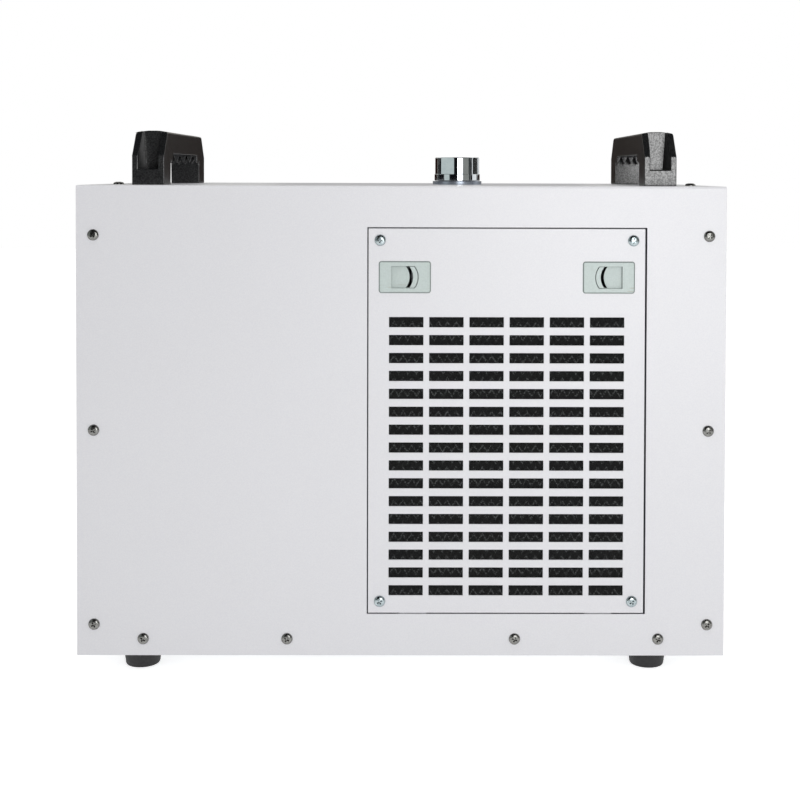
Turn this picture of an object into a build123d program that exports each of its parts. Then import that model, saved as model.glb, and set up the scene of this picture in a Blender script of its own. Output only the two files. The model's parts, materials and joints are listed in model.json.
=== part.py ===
from build123d import *
from math import atan2, degrees
import os

# Recirculating chiller with a sheet-metal casing, in millimetres.
# X runs along the casing, from the control end at -X to the hose end at +X.
# Y runs across it, with the filter door on the -Y side.
# Z is up from the floor under the feet.

# Casing
body_length = 556.0
body_width = 283.0
body_height = 404.0
foot_height = 20.0
skin = 1.2
tray_sheet = 1.5
tray_lip = 20.0
fold_radius = 2.5
end_flange = 25.0
front_reach = 3.0
rear_reach = 21.0

# Casing screws
screw_head_r = 4.85
screw_head_rise = 2.4
screw_shank_r = 2.0
screw_length = 7.0
screw_play = 0.3
head_sides = 12
head_taper = 30.0
shank_sides = 6
hole_sides = 8
end_screw_inset = 14.7
low_screw_height = 27.0
high_screw_drop = 42.5
base_screw_height = 14.5
base_screw_outer_inset = 56.8
base_screw_inner = 97.8
top_screw_front_inset = 20.0
top_screw_rear_inset = 17.0

# Filter door and the window it closes
door_width = 236.7
door_height = 330.6
door_bottom = 37.0
door_rear_margin = 69.6
door_gap = 1.0
door_latch_gap = 1.6
door_fold = 9.0
door_rest_gap = 0.3
tab_width = 23.0
tab_drop = 8.0
tab_inset = 27.0
tab_play = 1.0
frame_flange = 12.0
ledge_width = 8.0
door_screw_inset = 10.0

# Air slots
slot_width = 29.4
slot_height = 8.8
slot_pitch_x = 34.4
slot_pitch_z = 15.4
slot_columns = 6
slot_rows = 16
slot_bottom_inset = 15.0

# Filter pad and the frame that clamps it
pad_thickness = 6.0
pad_side_inset = 15.5
pad_bottom_inset = 6.0
pad_top_margin = 12.0
pad_frame_lap = 5.0
spacer_r = 4.0

# Slide latches
latch_width = 44.8
latch_height = 27.6
latch_corner = 2.5
latch_rise = 0.9
latch_taper = 52.0
latch_face = 2.4
latch_margin = 1.6
latch_wall = 1.2
latch_lip = 2.0
latch_drop = 41.6
latch_edge_gap = 8.7
latch_play = 0.3
pull_window_inset = 10.9
pull_window_width = 23.2
pull_window_height = 18.8
pull_arc_sag = 3.2
pull_rib_width = 4.1
pull_rib_gap = 0.6
pull_hook_gap = 2.9
slider_sheet = 1.6
bolt_width = 12.0
latch_travel = 7.0

# Handles
handle_length = 206.0
handle_width = 28.5
handle_height = 48.6
handle_crown = 1.8
handle_straight = 26.0
handle_end_slope = 18.0
handle_post = 29.0
handle_opening = 28.0
handle_front_inset = 53.5
handle_rear_inset = 50.0
handle_edge = 2.5
handle_dip = 1.2
handle_end_round = 6.0
handle_well_floor = 14.0
handle_well_top = 16.6
handle_well_bottom = 11.5
handle_well_mouth = 18.2
handle_well_depth = 22.0
handle_rib_pitch = 6.5
handle_rib_depth = 8.0
handle_rib_length = 12.0
handle_ribs = 5
handle_screw_r = 2.5
handle_screw_head_r = 4.4
handle_screw_rise = 3.0
handle_screw_sink = 3.6

# Feet
foot_top_r = 17.5
foot_bottom_r = 15.0
foot_front_inset = 48.5
foot_rear_inset = 60.0
foot_side_inset = 38.0
foot_recess_r = 7.0
foot_recess = 9.0
foot_sides = 24

# Filler neck and cap
filler_rear_inset = 227.3
filler_wall_inset = 30.0
filler_flange_r = 23.4
filler_flange = 3.3
filler_spigot_r = 18.0
filler_spigot = 14.0
filler_bore_r = 14.0
cap_ring_r = 21.7
cap_ring = 6.2
cap_r = 21.1
cap_rise = 22.3
cap_flat_depth = 1.05
cap_flat_turn = -28.4
cap_play = 0.3
seal_thickness = 2.5

# Tank and its stand
tank_length = 140.0
tank_side_gap = 20.3
tank_height = 130.0
tank_pump_gap = 10.0
tank_fan_gap = 14.5
tank_corner = 12.0
tank_wall = 3.0
tank_drop = 10.0
stand_sheet = 1.5
stand_motor_gap = 8.5
stand_leg_inset = 30.0
stand_foot = 14.0

# Condenser and fan
condenser_gap = 3.0
condenser_side_gap = 8.0
condenser_depth = 36.0
condenser_lift = 42.0
condenser_sheet = 1.5
condenser_foot = 20.0
header_r = 9.0
header_lap = 2.0
header_stub = 3.0
fin_pitch = 8.0
fin_thickness = 3.0
fin_header = 4.0
shroud_depth = 30.0
fan_hole_r = 103.0
fan_r = 99.0
hub_r = 32.0
hub_depth = 22.0
blade_sheet = 2.0
blade_angle = 32.0
blade_count = 5
fan_shaft_r = 4.0
fan_shaft_play = 0.05
motor_r = 43.0
motor_length = 56.0
bracket_arm = 16.0
bracket_standoff = 16.0

# Compressor
compressor_r = 65.0
compressor_height = 176.0
compressor_dome = 24.0
compressor_tank_gap = 26.8
compressor_pipe_gap = 15.3
compressor_foot = 140.0
compressor_foot_sheet = 3.0
compressor_mount_r = 10.0
compressor_mount = 10.0
compressor_mount_inset = 14.0
pipe_stub_r = 6.5
pipe_stub = 6.0

# Pump
pump_rear_inset = 138.0
pump_y = 5.0
pump_r = 34.0
pump_head_r = 40.0
pump_head = 25.0
pump_motor = 60.0
pump_axis_height = 45.0
pump_foot_width = 56.0

# Evaporator, drier, pipes and hoses
evaporator_length = 76.0
evaporator_width = 40.0
evaporator_height = 206.0
evaporator_side_gap = 10.0
evaporator_port_inset = 12.5
pipe_r = 4.0
pipe_bend = 12.0
pipe_sides = 8
hose_r = 7.0
hose_bend = 14.0
drier_r = 10.0
drier_length = 110.0
drier_gap = 38.0
liquid_pipe_height = 202.0
low_pipe_height = 35.0
high_pipe_height = 230.0
drier_bottom = 90.0
discharge_height = 330.0
condenser_outlet_height = 60.0

# Control panel
bezel_width = 124.0
bezel_height = 74.0
bezel_rim = 4.0
bezel_step = 1.0
bezel_corner = 5.0
bezel_drop = 92.0
display_width = 62.0
display_height = 26.0
display_rise = 12.0
key_width = 17.0
key_height = 9.0
key_pitch = 25.0
key_fall = 19.0
key_rise = 0.8
key_travel = 0.8
key_play = 0.3
controller_margin = 8.0
controller_depth = 40.0
power_box_depth = 40.0
power_box_width = 120.0
power_box_height = 140.0
power_box_lift = 45.0

# Hose end
vent_columns = 4
vent_rows = 12
vent_bottom = 92.0
vent_side_inset = 22.0
port_side_inset = 81.5
port_spigot_r = 5.0
port_bore_r = 3.25
port_spigot = 14.0
port_hex = 22.0
port_stub = 16.0
return_height = 290.0
supply_height = 200.0
drain_side_inset = 111.5
drain_height = 35.0
drain_flange_r = 13.0
drain_flange = 3.0
drain_spigot_r = 10.0
drain_spigot = 12.0
drain_cap_r = 13.0
drain_cap_flat = 12.2
gauge_side_inset = 43.5
gauge_width = 24.0
gauge_height = 110.0
gauge_bottom = 262.0
gauge_rise = 3.0
gauge_wall = 3.0
gauge_slot_width = 10.0
gauge_slot_height = 88.0
gauge_depth = 10.0
gauge_hose_inset = 13.0
lens_sheet = 2.0
inlet_side_inset = 46.5
inlet_height = 120.0
inlet_width = 50.0
inlet_tall = 26.0
inlet_rise = 2.5
socket_width = 24.5
socket_tall = 16.5
socket_depth = 17.0
socket_wall = 1.8
socket_chamfer = 4.0
pin_width = 2.0
pin_tall = 4.0
pin_pitch = 7.0
pin_offset = 2.0
pin_length = 14.0
switch_height = 165.0
switch_rise = 2.0
switch_depth = 18.0
switch_wall = 2.0
switch_rim = 2.2
rocker_width = 12.0
rocker_tall = 22.0
rocker_tilt = 10.0
rocker_depth = 7.0
rocker_crown = 2.5
rocker_play = 0.3

# Places that follow from the sizes
half_length = body_length / 2
half_width = body_width / 2
floor = foot_height
top = foot_height + body_height
inner_x = half_length - skin
inner_y = half_width - skin
tray_top = floor + tray_sheet
shift_x = -(rear_reach - front_reach) / 2
handle_front_x = handle_front_inset - half_length
handle_rear_x = half_length - handle_rear_inset
door_face = -half_width

door_x1 = half_length - door_rear_margin
door_x0 = door_x1 - door_width
door_x = (door_x0 + door_x1) / 2
door_z0 = floor + door_bottom
door_z1 = door_z0 + door_height
window_x0 = door_x0 - door_gap
window_x1 = door_x1 + door_latch_gap
window_z0 = door_z0 - door_gap
window_z1 = door_z1 + door_gap
ledge_y = door_face + door_fold + door_rest_gap
screw_hole_r = screw_shank_r + screw_play
slots_z0 = door_z0 + slot_bottom_inset
slots_z1 = slots_z0 + (slot_rows - 1) * slot_pitch_z + slot_height
pad_x0 = door_x0 + pad_side_inset
pad_x1 = door_x1 - pad_side_inset
pad_z0 = door_z0 + pad_bottom_inset
pad_z1 = slots_z1 + pad_top_margin
pad_y1 = door_face + skin + pad_thickness

latch_x0 = door_x0 + latch_edge_gap
latch_x1 = latch_x0 + latch_width
latch_z = door_z1 - latch_drop
sleeve_x0 = latch_x0 + latch_margin
sleeve_x1 = latch_x1 - latch_margin
sleeve_half = latch_height / 2 - latch_margin
slider_y0 = door_face - latch_rise + latch_face + latch_play
slider_y1 = slider_y0 + slider_sheet
latch_y1 = slider_y1 + latch_play + latch_wall
pull_x0 = latch_x0 + pull_window_inset
pull_x1 = pull_x0 + pull_window_width

condenser_x0 = door_x0 + condenser_side_gap
condenser_x1 = door_x1 - condenser_side_gap
condenser_y0 = ledge_y + skin + condenser_gap
condenser_y1 = condenser_y0 + condenser_depth
condenser_y = (condenser_y0 + condenser_y1) / 2
condenser_z0 = tray_top + condenser_lift
condenser_z1 = door_z1 - condenser_side_gap
shroud_y1 = condenser_y1 + shroud_depth
bracket_y = shroud_y1 + bracket_standoff
motor_end = bracket_y + tray_sheet + motor_length
fan_z = (condenser_z0 + condenser_z1) / 2

filler_x = half_length - filler_rear_inset
pump_x0 = half_length - pump_rear_inset
pump_x = pump_x0 + pump_head / 2
pump_z = tray_top + pump_axis_height
tank_x1 = pump_x0 - tank_pump_gap
tank_x0 = tank_x1 - tank_length
tank_y0 = bracket_y + tray_sheet + tank_fan_gap
tank_y1 = inner_y - tank_side_gap
filler_y = tank_y0 + filler_wall_inset
tank_z1 = top - tank_drop
tank_z0 = tank_z1 - tank_height

evaporator_x0 = pump_x - evaporator_port_inset
evaporator_y1 = inner_y - evaporator_side_gap
evaporator_y0 = evaporator_y1 - evaporator_width
evaporator_y = (evaporator_y0 + evaporator_y1) / 2
compressor_x = tank_x0 - compressor_tank_gap - compressor_foot / 2
compressor_y = evaporator_y - compressor_pipe_gap - compressor_r
compressor_z0 = tray_top + compressor_mount
stub_top = compressor_z0 + compressor_foot_sheet + compressor_height + pipe_stub
port_inner_x = inner_x - port_stub
port_y = half_width - port_side_inset
drain_y = half_width - drain_side_inset
gauge_y = half_width - gauge_side_inset
inlet_y = half_width - inlet_side_inset
bezel_z = top - bezel_drop
gauge_z0 = floor + gauge_bottom
neck_top = top + filler_flange + filler_spigot
drain_end = half_length + drain_flange + drain_spigot


def block(x0, x1, y0, y1, z0, z1):
    """A box between two corners."""
    centre = Pos((x0 + x1) / 2, (y0 + y1) / 2, (z0 + z1) / 2)
    return centre * Box(x1 - x0, y1 - y0, z1 - z0)


def rod(start, direction, radius, length):
    """A cylinder from a start point along a direction."""
    seat = Plane(origin=start, z_dir=direction)
    return seat * Cylinder(radius, length, align=(Align.CENTER, Align.CENTER, Align.MIN))


def peg(start, direction, radius, length, sides, taper=0):
    """A many-sided pin from a start point along a direction."""
    seat = Plane(origin=start, z_dir=direction)
    return seat * extrude(RegularPolygon(radius, sides), length, taper=taper)


def turned(start, direction, profile):
    """A turned piece: the profile holds (radius, distance along the direction) points."""
    face = make_face(Plane.XZ * Polyline(*profile, close=True))
    return Plane(origin=start, z_dir=direction) * revolve(face, Axis.Z)


def prism(outline, direction, length):
    """A closed outline drawn out along a direction."""
    return extrude(make_face(outline), amount=length, dir=direction)


def join(parts):
    """All the parts as one shape."""
    whole = parts[0]
    for part in parts[1:]:
        whole = whole + part
    return whole


def group(parts):
    """Separate solids kept side by side in one piece."""
    return Compound(children=[solid for part in parts for solid in part.solids()])


def bent(points, bend, radius):
    """A pipe along straight runs joined by arcs, which the shortest run may limit."""
    start = Plane(origin=points[0], z_dir=Vector(*points[1]) - Vector(*points[0]))
    section = start * RegularPolygon(radius, pipe_sides)
    if len(points) == 2:
        return sweep(section, path=Line(*points))
    shortest = min((Vector(*b) - Vector(*a)).length for a, b in zip(points, points[1:]))
    path = FilletPolyline(*points, radius=min(bend, shortest * 0.45))
    return sweep(section, path=path)


def opposite(part):
    """The part mirrored about the middle of the door."""
    return mirror(part, about=Plane(origin=(door_x, 0, 0), z_dir=(1, 0, 0)))


def pan_screw(point, inward, head_r, head_rise, shank_r, length):
    """A pan-head screw whose head stands on the point and whose shank goes inward."""
    outward = tuple(-v for v in inward)
    head = peg(point, outward, head_r, head_rise, head_sides, head_taper)
    return head + peg(point, inward, shank_r, length, shank_sides)


def side_screw_places():
    """X and Z of the screws that hold each side of the cover."""
    low = floor + low_screw_height
    high = top - high_screw_drop
    end_x = half_length - end_screw_inset
    places = [(end * end_x, z) for end in (-1, 1) for z in (low, (low + high) / 2, high)]
    base_xs = (half_length - base_screw_outer_inset, base_screw_inner)
    return places + [(end * x, floor + base_screw_height) for end in (-1, 1) for x in base_xs]


def top_screw_places():
    """X and Y of the screws in the top of the cover."""
    xs = (top_screw_front_inset - half_length, half_length - top_screw_rear_inset)
    return [(x, j * body_width / 4) for x in xs for j in (-1, 1)]


def handle_screw_places():
    """X and Y of the handle screws."""
    y = (handle_length - handle_well_depth) / 2
    return [(x, j * y) for x in (handle_front_x, handle_rear_x) for j in (-1, 1)]


def foot_places():
    """Name, X and Y of each foot."""
    y = half_width - foot_side_inset
    ends = (("front", -half_length + foot_front_inset), ("rear", half_length - foot_rear_inset))
    return [(f"{end}_{side}", x, s * y)
            for end, x in ends for side, s in (("near", -1), ("far", 1))]


def port_places():
    """Y and Z of the return, supply and drain ports."""
    return [(port_y, floor + return_height), (port_y, floor + supply_height),
            (drain_y, floor + drain_height)]


def tab_spans():
    """X spans of the door's two bottom tabs."""
    first = door_x0 + tab_inset
    last = door_x1 - tab_inset
    return [(first, first + tab_width), (last - tab_width, last)]


def cover_holes():
    """Drills through the sides and the top of the casing at every cover screw."""
    reach = skin + tray_sheet + 2
    drills = []
    for x, z in side_screw_places():
        for side in (-1, 1):
            start = (x, side * (half_width + 1), z)
            drills.append(peg(start, (0, -side, 0), screw_hole_r, reach, hole_sides))
    for x, y in top_screw_places():
        drills.append(peg((x, y, top + 1), (0, 0, -1), screw_hole_r, reach, hole_sides))
    return drills


def make_base_tray():
    """The folded tray that carries everything."""
    outer = block(-inner_x, inner_x, -inner_y, inner_y, floor, floor + tray_lip)
    x = inner_x - tray_sheet
    y = inner_y - tray_sheet
    tray = outer - block(-x, x, -y, y, tray_top, floor + tray_lip + 1)
    foot_holes = [peg((x, y, floor - 1), (0, 0, 1), screw_hole_r, tray_sheet + 2, hole_sides)
                  for name, x, y in foot_places()]
    return tray - foot_holes - cover_holes()


def rounded_shell(x0, x1, y, z0, z1, radius):
    """A block whose two long top edges are rounded."""
    shape = block(x0, x1, -y, y, z0, z1)
    return fillet(shape.edges().filter_by(Axis.X).group_by(Axis.Z)[-1], radius)


def make_wrap_cover():
    """The folded cover: top and both sides in one sheet, with the door's window."""
    outer = rounded_shell(-half_length, half_length, half_width, floor, top, fold_radius)
    inner = rounded_shell(-half_length - 1, half_length + 1, inner_y, floor - 1, top - skin,
                          fold_radius - skin)
    window = block(window_x0, window_x1, door_face - 1, -inner_y + 1, window_z0, window_z1)
    handle_holes = [peg((x, y, top + 1), (0, 0, -1), handle_screw_r + screw_play, skin + 2, hole_sides)
                    for x, y in handle_screw_places()]
    neck_hole = rod((filler_x, filler_y, top + 1), (0, 0, -1), filler_spigot_r + screw_play, skin + 2)
    return outer - inner - window - cover_holes() - handle_holes - neck_hole


def make_end_panel(end):
    """A flat end panel with folded flanges; end is -1 at the front and 1 at the rear."""
    outer = rounded_shell(0, end_flange + skin, inner_y, floor, top - skin, fold_radius - skin)
    inner = block(skin, end_flange + 2 * skin, -inner_y + skin, inner_y - skin,
                  floor - 1, top - 2 * skin)
    relief = block(skin, end_flange + 2 * skin, -inner_y - 1, inner_y + 1,
                   floor - 1, floor + tray_lip + skin)
    turn = Rot(0, 0, 180) if end > 0 else Rot(0, 0, 0)
    return Pos(end * half_length, 0, 0) * turn * (outer - inner - relief) - cover_holes()


def make_front_panel():
    """The control end, cut out for the controller."""
    y = bezel_width / 2 - controller_margin + key_play
    z = bezel_height / 2 - controller_margin + key_play
    cut = block(-half_length - 1, -inner_x + 1, -y, y, bezel_z - z, bezel_z + z)
    return make_end_panel(-1) - cut


def panel_cut(y, half_y, z0, z1):
    """A square cut-out through the rear panel."""
    return block(inner_x - 1, half_length + 1, y - half_y, y + half_y, z0, z1)


def make_rear_panel():
    """The hose end: air slots, ports, drain, level gauge, mains inlet and switch."""
    y0 = -half_width + vent_side_inset
    cuts = []
    for column in range(vent_columns):
        for row in range(vent_rows):
            y = y0 + column * slot_pitch_x + slot_width / 2
            z = floor + vent_bottom + row * slot_pitch_z
            cuts.append(panel_cut(y, slot_width / 2, z, z + slot_height))
    for y, z in port_places():
        cuts.append(rod((inner_x - 1, y, z), (1, 0, 0), hose_r + screw_play, skin + 2))
    play = screw_play
    half = gauge_slot_height / 2 + gauge_wall + play
    z = gauge_z0 + gauge_height / 2
    cuts.append(panel_cut(gauge_y, gauge_slot_width / 2 + gauge_wall + play, z - half, z + half))
    half = socket_tall / 2 + socket_wall + play
    z = floor + inlet_height
    cuts.append(panel_cut(inlet_y, socket_width / 2 + socket_wall + play, z - half, z + half))
    half = switch_half() + switch_wall + play
    z = floor + switch_height
    cuts.append(panel_cut(inlet_y, rocker_width / 2 + rocker_play + switch_wall + play,
                          z - half, z + half))
    return make_end_panel(1) - cuts


def make_window_frame():
    """The ring behind the window, with the ledge that the door closes against."""
    x0, x1 = window_x0 - door_rest_gap, window_x1 + door_rest_gap
    z0, z1 = window_z0 - door_rest_gap, window_z1 + door_rest_gap
    front = -inner_y
    back = ledge_y + skin
    lap = frame_flange
    flange = block(x0 - lap, x1 + lap, front, front + skin, z0 - lap, z1 + lap)
    wall = block(x0 - skin, x1 + skin, front, back, z0 - skin, z1 + skin)
    hollow = block(x0, x1, front - 1, ledge_y, z0, z1)
    lip = ledge_width
    opening = block(x0 + lip, x1 - lip, front, back + 1, z0 + lip, z1 - lip)
    frame = flange + wall - hollow - opening
    tab_slots = [block(a - tab_play, b + tab_play, front + skin, ledge_y, z0 - 2 * skin, z0 + 1)
                 for a, b in tab_spans()]
    half = bolt_width / 2 + tab_play
    reach = door_x0 - latch_travel - tab_play
    notch = block(reach, door_x0, front - 1, slider_y1 + tab_play, latch_z - half, latch_z + half)
    return frame - tab_slots - notch - opposite(notch)


def door_slots():
    """The rows of air slots in the door."""
    x0 = door_x - ((slot_columns - 1) * slot_pitch_x + slot_width) / 2
    slots = []
    for column in range(slot_columns):
        for row in range(slot_rows):
            x = x0 + column * slot_pitch_x
            z = slots_z0 + row * slot_pitch_z
            slots.append(block(x, x + slot_width, door_face - 1, -inner_y + 1, z, z + slot_height))
    return slots


def door_screw_places():
    """X and Z of the four screws at the door's corners."""
    inset = door_screw_inset
    return [(x, z) for x in (door_x0 + inset, door_x1 - inset)
            for z in (door_z0 + inset, door_z1 - inset)]


def make_filter_door():
    """The slotted door pan, with its bottom tabs and its latch cut-outs."""
    back = door_face + door_fold
    pan = block(door_x0, door_x1, door_face, back, door_z0, door_z1)
    pan = pan - block(door_x0 + skin, door_x1 - skin, -inner_y, back + 1,
                      door_z0 + skin, door_z1 - skin)
    tab_y = -inner_y + skin + latch_play
    for a, b in tab_spans():
        pan = pan - block(a - 1, b + 1, tab_y + skin, back + 1, door_z0 - 1, door_z0 + 2 * skin)
        pan = pan + block(a, b, tab_y, tab_y + skin, door_z0 - tab_drop, door_z0 + skin)
    play = latch_play
    cut = block(sleeve_x0 - play, sleeve_x1 + play, door_face - 1, -inner_y + 1,
                latch_z - sleeve_half - play, latch_z + sleeve_half + play)
    half = bolt_width / 2 + play
    bolt_slot = block(door_x0 - 1, door_x0 + skin + 1, -inner_y, slider_y1 + play,
                      latch_z - half, latch_z + half)
    holes = [peg((x, door_face - 1, z), (0, 1, 0), screw_hole_r, skin + 2, hole_sides)
             for x, z in door_screw_places()]
    return pan - [cut, bolt_slot, opposite(cut), opposite(bolt_slot)] - holes - door_slots()


def make_filter_pad():
    """The knitted filter pad behind the slots."""
    return block(pad_x0, pad_x1, -inner_y, pad_y1, pad_z0, pad_z1)


def make_pad_frame():
    """The flat frame that clamps the pad, standing on four spacers."""
    edge = 2 * skin
    x0, x1 = door_x0 + edge, door_x1 - edge
    z0, z1 = door_z0 + 2 * edge, door_z1 - edge
    frame = block(x0, x1, pad_y1, pad_y1 + skin, z0, z1)
    lap = pad_frame_lap
    frame = frame - block(pad_x0 + lap, pad_x1 - lap, pad_y1 - 1, pad_y1 + 2 * skin,
                          pad_z0 + lap, pad_z1 - lap)
    side = 2 * door_screw_inset
    frame = frame - block(door_x0 + side, door_x1 - side, pad_y1 - 1, pad_y1 + 2 * skin,
                          pad_z1 + lap, door_z1 - side)
    depth = pad_thickness
    for x, z in door_screw_places():
        frame = frame + peg((x, -inner_y, z), (0, 1, 0), spacer_r, depth, head_sides)
        frame = frame - peg((x, -inner_y - 1, z), (0, 1, 0), screw_hole_r, depth + skin + 2, hole_sides)
    return frame


def make_filter_screws():
    """The four screws that hold the pad's frame to the door."""
    length = skin + pad_thickness + skin
    return group([pan_screw((x, door_face, z), (0, 1, 0), screw_head_r, screw_head_rise,
                            screw_shank_r, length) for x, z in door_screw_places()])


def pull_outline(shift, width, half):
    """A band with two curved sides, as seen from outside; width reaches back to a flat side."""
    x = pull_x1 - shift
    sag = pull_arc_sag
    arc = ThreePointArc((x - sag, half), (x, 0), (x - sag, -half))
    back = x - sag - width
    sides = Polyline((x - sag, -half), (back, -half))
    if width < pull_window_width / 2:
        sides += ThreePointArc((back, -half), (back + sag, 0), (back, half))
    else:
        sides += Line((back, -half), (back, half))
    return arc + sides + Line((back, half), (x - sag, half))


def pull_prism(shift, width, half, y0, y1):
    """The outline of the finger pull, from depth y0 to y1 at the latch's height."""
    seat = Plane(origin=(0, y1, latch_z), x_dir=(1, 0, 0), z_dir=(0, -1, 0))
    return seat * prism(pull_outline(shift, width, half), (0, 0, 1), y1 - y0)


def make_latch_body():
    """The left latch housing: face plate with its D-shaped window, sleeve and back lips."""
    outline = RectangleRounded(latch_width, latch_height, latch_corner)
    plate = Rot(90, 0, 0) * extrude(outline, latch_rise, taper=latch_taper)
    plate = Pos((latch_x0 + latch_x1) / 2, door_face, latch_z) * plate
    sleeve = block(sleeve_x0, sleeve_x1, door_face, latch_y1,
                   latch_z - sleeve_half, latch_z + sleeve_half)
    wall = latch_wall
    inside = sleeve_half - wall
    face_back = slider_y0 - latch_play
    well = block(sleeve_x0 + wall, sleeve_x1 - wall, face_back, latch_y1 - wall,
                 latch_z - inside, latch_z + inside)
    lip = inside - latch_lip
    back = block(sleeve_x0 + wall, sleeve_x1 - wall, face_back, latch_y1 + 1,
                 latch_z - lip, latch_z + lip)
    bolt_half = bolt_width / 2 + latch_play
    mouth = block(sleeve_x0 - 1, sleeve_x0 + wall + 1, face_back, latch_y1 + 1,
                  latch_z - bolt_half, latch_z + bolt_half)
    window = pull_prism(0, pull_window_width - pull_arc_sag, pull_window_height / 2,
                        door_face - latch_rise - 1, face_back + 1)
    return plate + sleeve - well - back - mouth - window


def make_latch_slider():
    """The left slider, drawn back: plate, bolt, and the finger pull's curved rib beside its slot."""
    x0 = sleeve_x0 + latch_wall + latch_play + latch_travel
    x1 = pull_x1 + pull_arc_sag
    half = sleeve_half - latch_wall - latch_play
    plate = block(x0, x1, slider_y0, slider_y1, latch_z - half, latch_z + half)
    bolt = block(door_x0 + latch_play, x0 + 1, slider_y0 + latch_play, slider_y1,
                 latch_z - bolt_width / 2, latch_z + bolt_width / 2)
    pull_half = pull_window_height / 2 - latch_play
    rib = pull_prism(pull_rib_gap, pull_rib_width, pull_half,
                     door_face - latch_rise + latch_play, slider_y0 + slider_sheet / 2)
    slot = pull_prism(pull_rib_gap + pull_rib_width, pull_hook_gap, pull_half,
                      slider_y0 - 1, slider_y1 + 1)
    return plate + bolt + rib - slot


def handle_section():
    """The grip's outline across: flat sides, rounded shoulders and a crowned top."""
    half = handle_width / 2
    shoulder = handle_height - handle_crown
    sides = Polyline((half, shoulder), (half, 0), (-half, 0), (-half, shoulder))
    face = make_face(sides + ThreePointArc((-half, shoulder), (0, handle_height), (half, shoulder)))
    return fillet(face.vertices().group_by(Axis.Y)[-1], handle_edge)


def well_outline(y, floor_width, top_width):
    """The screw well across at one place: its width at the floor and at the handle's top."""
    low = handle_well_floor
    high = handle_height + 1
    return Pos(0, y, 0) * make_face(Plane.XZ * Polyline(
        (-floor_width / 2, low), (-top_width / 2, high), (top_width / 2, high), (floor_width / 2, low),
        close=True))


def make_handle():
    """A moulded bridge handle, centred on its base, with screw wells, a dipped top and grip ribs."""
    y = handle_length / 2
    top_y = y - handle_end_slope
    ends = Polyline((top_y, handle_height), (y, handle_straight), (y, 0),
                    (-y, 0), (-y, handle_straight), (-top_y, handle_height))
    dip = ThreePointArc((-top_y, handle_height), (0, handle_height - handle_dip), (top_y, handle_height))
    outline = make_face(ends + dip)
    outline = fillet(outline.vertices().group_by(Axis.Y)[-1], handle_end_round)
    side = extrude(Plane.YZ * outline, amount=handle_width + 2, dir=(1, 0, 0))
    grip = Pos(0, -y, 0) * extrude(Plane.XZ * handle_section(), amount=handle_length, dir=(0, 1, 0))
    body = grip & (Pos(-handle_width / 2 - 1, 0, 0) * side)
    opening_y = y - handle_post
    body = body - block(-handle_width, handle_width, -opening_y, opening_y, -1, handle_opening)
    mouth = well_outline(-y, handle_well_mouth, handle_well_mouth)
    back = well_outline(-y + handle_well_depth, handle_well_bottom, handle_well_top)
    well = loft([mouth, back], ruled=True)
    body = body - well - Rot(0, 0, 180) * well
    bore = peg((0, y - handle_well_depth / 2, -1), (0, 0, 1), handle_screw_r + screw_play,
               handle_height, hole_sides)
    pocket = peg((0, y - handle_well_depth / 2, handle_well_floor - handle_screw_sink), (0, 0, 1),
                 handle_screw_head_r + 2 * screw_play, handle_screw_sink + 1, head_sides)
    drilled = bore + pocket
    body = body - drilled - Rot(0, 0, 180) * drilled
    return body + grip_ribs(opening_y)


def grip_ribs(opening_y):
    """The pointed ribs between the grip's underside and each post."""
    half = handle_rib_pitch / 2
    width = handle_width / 2
    ribs = []
    for i in range(handle_ribs):
        x = (i - (handle_ribs - 1) / 2) * handle_rib_pitch
        point = Polyline((x - half, handle_opening + 1), (x - half, handle_opening),
                         (x, handle_opening - handle_rib_depth), (x + half, handle_opening),
                         (x + half, handle_opening + 1), close=True)
        rib = prism(Plane.XZ * point, (0, 1, 0), handle_rib_length)
        rib = rib & block(-width, width, -1, handle_rib_length + 1, 0, handle_height)
        near = Pos(0, -opening_y, 0) * rib
        ribs += [near, Rot(0, 0, 180) * near]
    return ribs


def make_handle_screws():
    """The four screws down through the handles' wells."""
    floor_height = handle_well_floor - handle_screw_sink
    z = top + floor_height
    length = floor_height + 4 * skin
    return group([pan_screw((x, y, z), (0, 0, -1), handle_screw_head_r, handle_screw_rise,
                            handle_screw_r, length) for x, y in handle_screw_places()])


def make_foot(x, y):
    """A tapered rubber foot with a recess for its screw."""
    taper = degrees(atan2(foot_top_r - foot_bottom_r, foot_height))
    body = peg((x, y, 0), (0, 0, 1), foot_bottom_r, foot_height, foot_sides, -taper)
    recess = peg((x, y, -1), (0, 0, 1), foot_recess_r, foot_recess + 1, head_sides)
    return body - recess - peg((x, y, 0), (0, 0, 1), screw_hole_r, foot_height + 1, hole_sides)


def make_foot_screws():
    """The screws up through the feet into the tray."""
    length = foot_height - foot_recess + tray_sheet + skin
    return group([pan_screw((x, y, foot_recess), (0, 0, 1), screw_head_r, screw_head_rise,
                            screw_shank_r, length) for name, x, y in foot_places()])


def make_filler_neck():
    """The threaded filler neck, clamped to the cover and standing on the tank."""
    tube_r = (filler_bore_r + filler_spigot_r) / 2
    bottom = tank_z1 - top
    profile = [(filler_bore_r, bottom), (tube_r, bottom), (tube_r, 0), (filler_flange_r, 0),
               (filler_flange_r, filler_flange), (filler_spigot_r, filler_flange),
               (filler_spigot_r, filler_flange + filler_spigot),
               (filler_bore_r, filler_flange + filler_spigot)]
    return turned((filler_x, filler_y, top), (0, 0, 1), profile)


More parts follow.
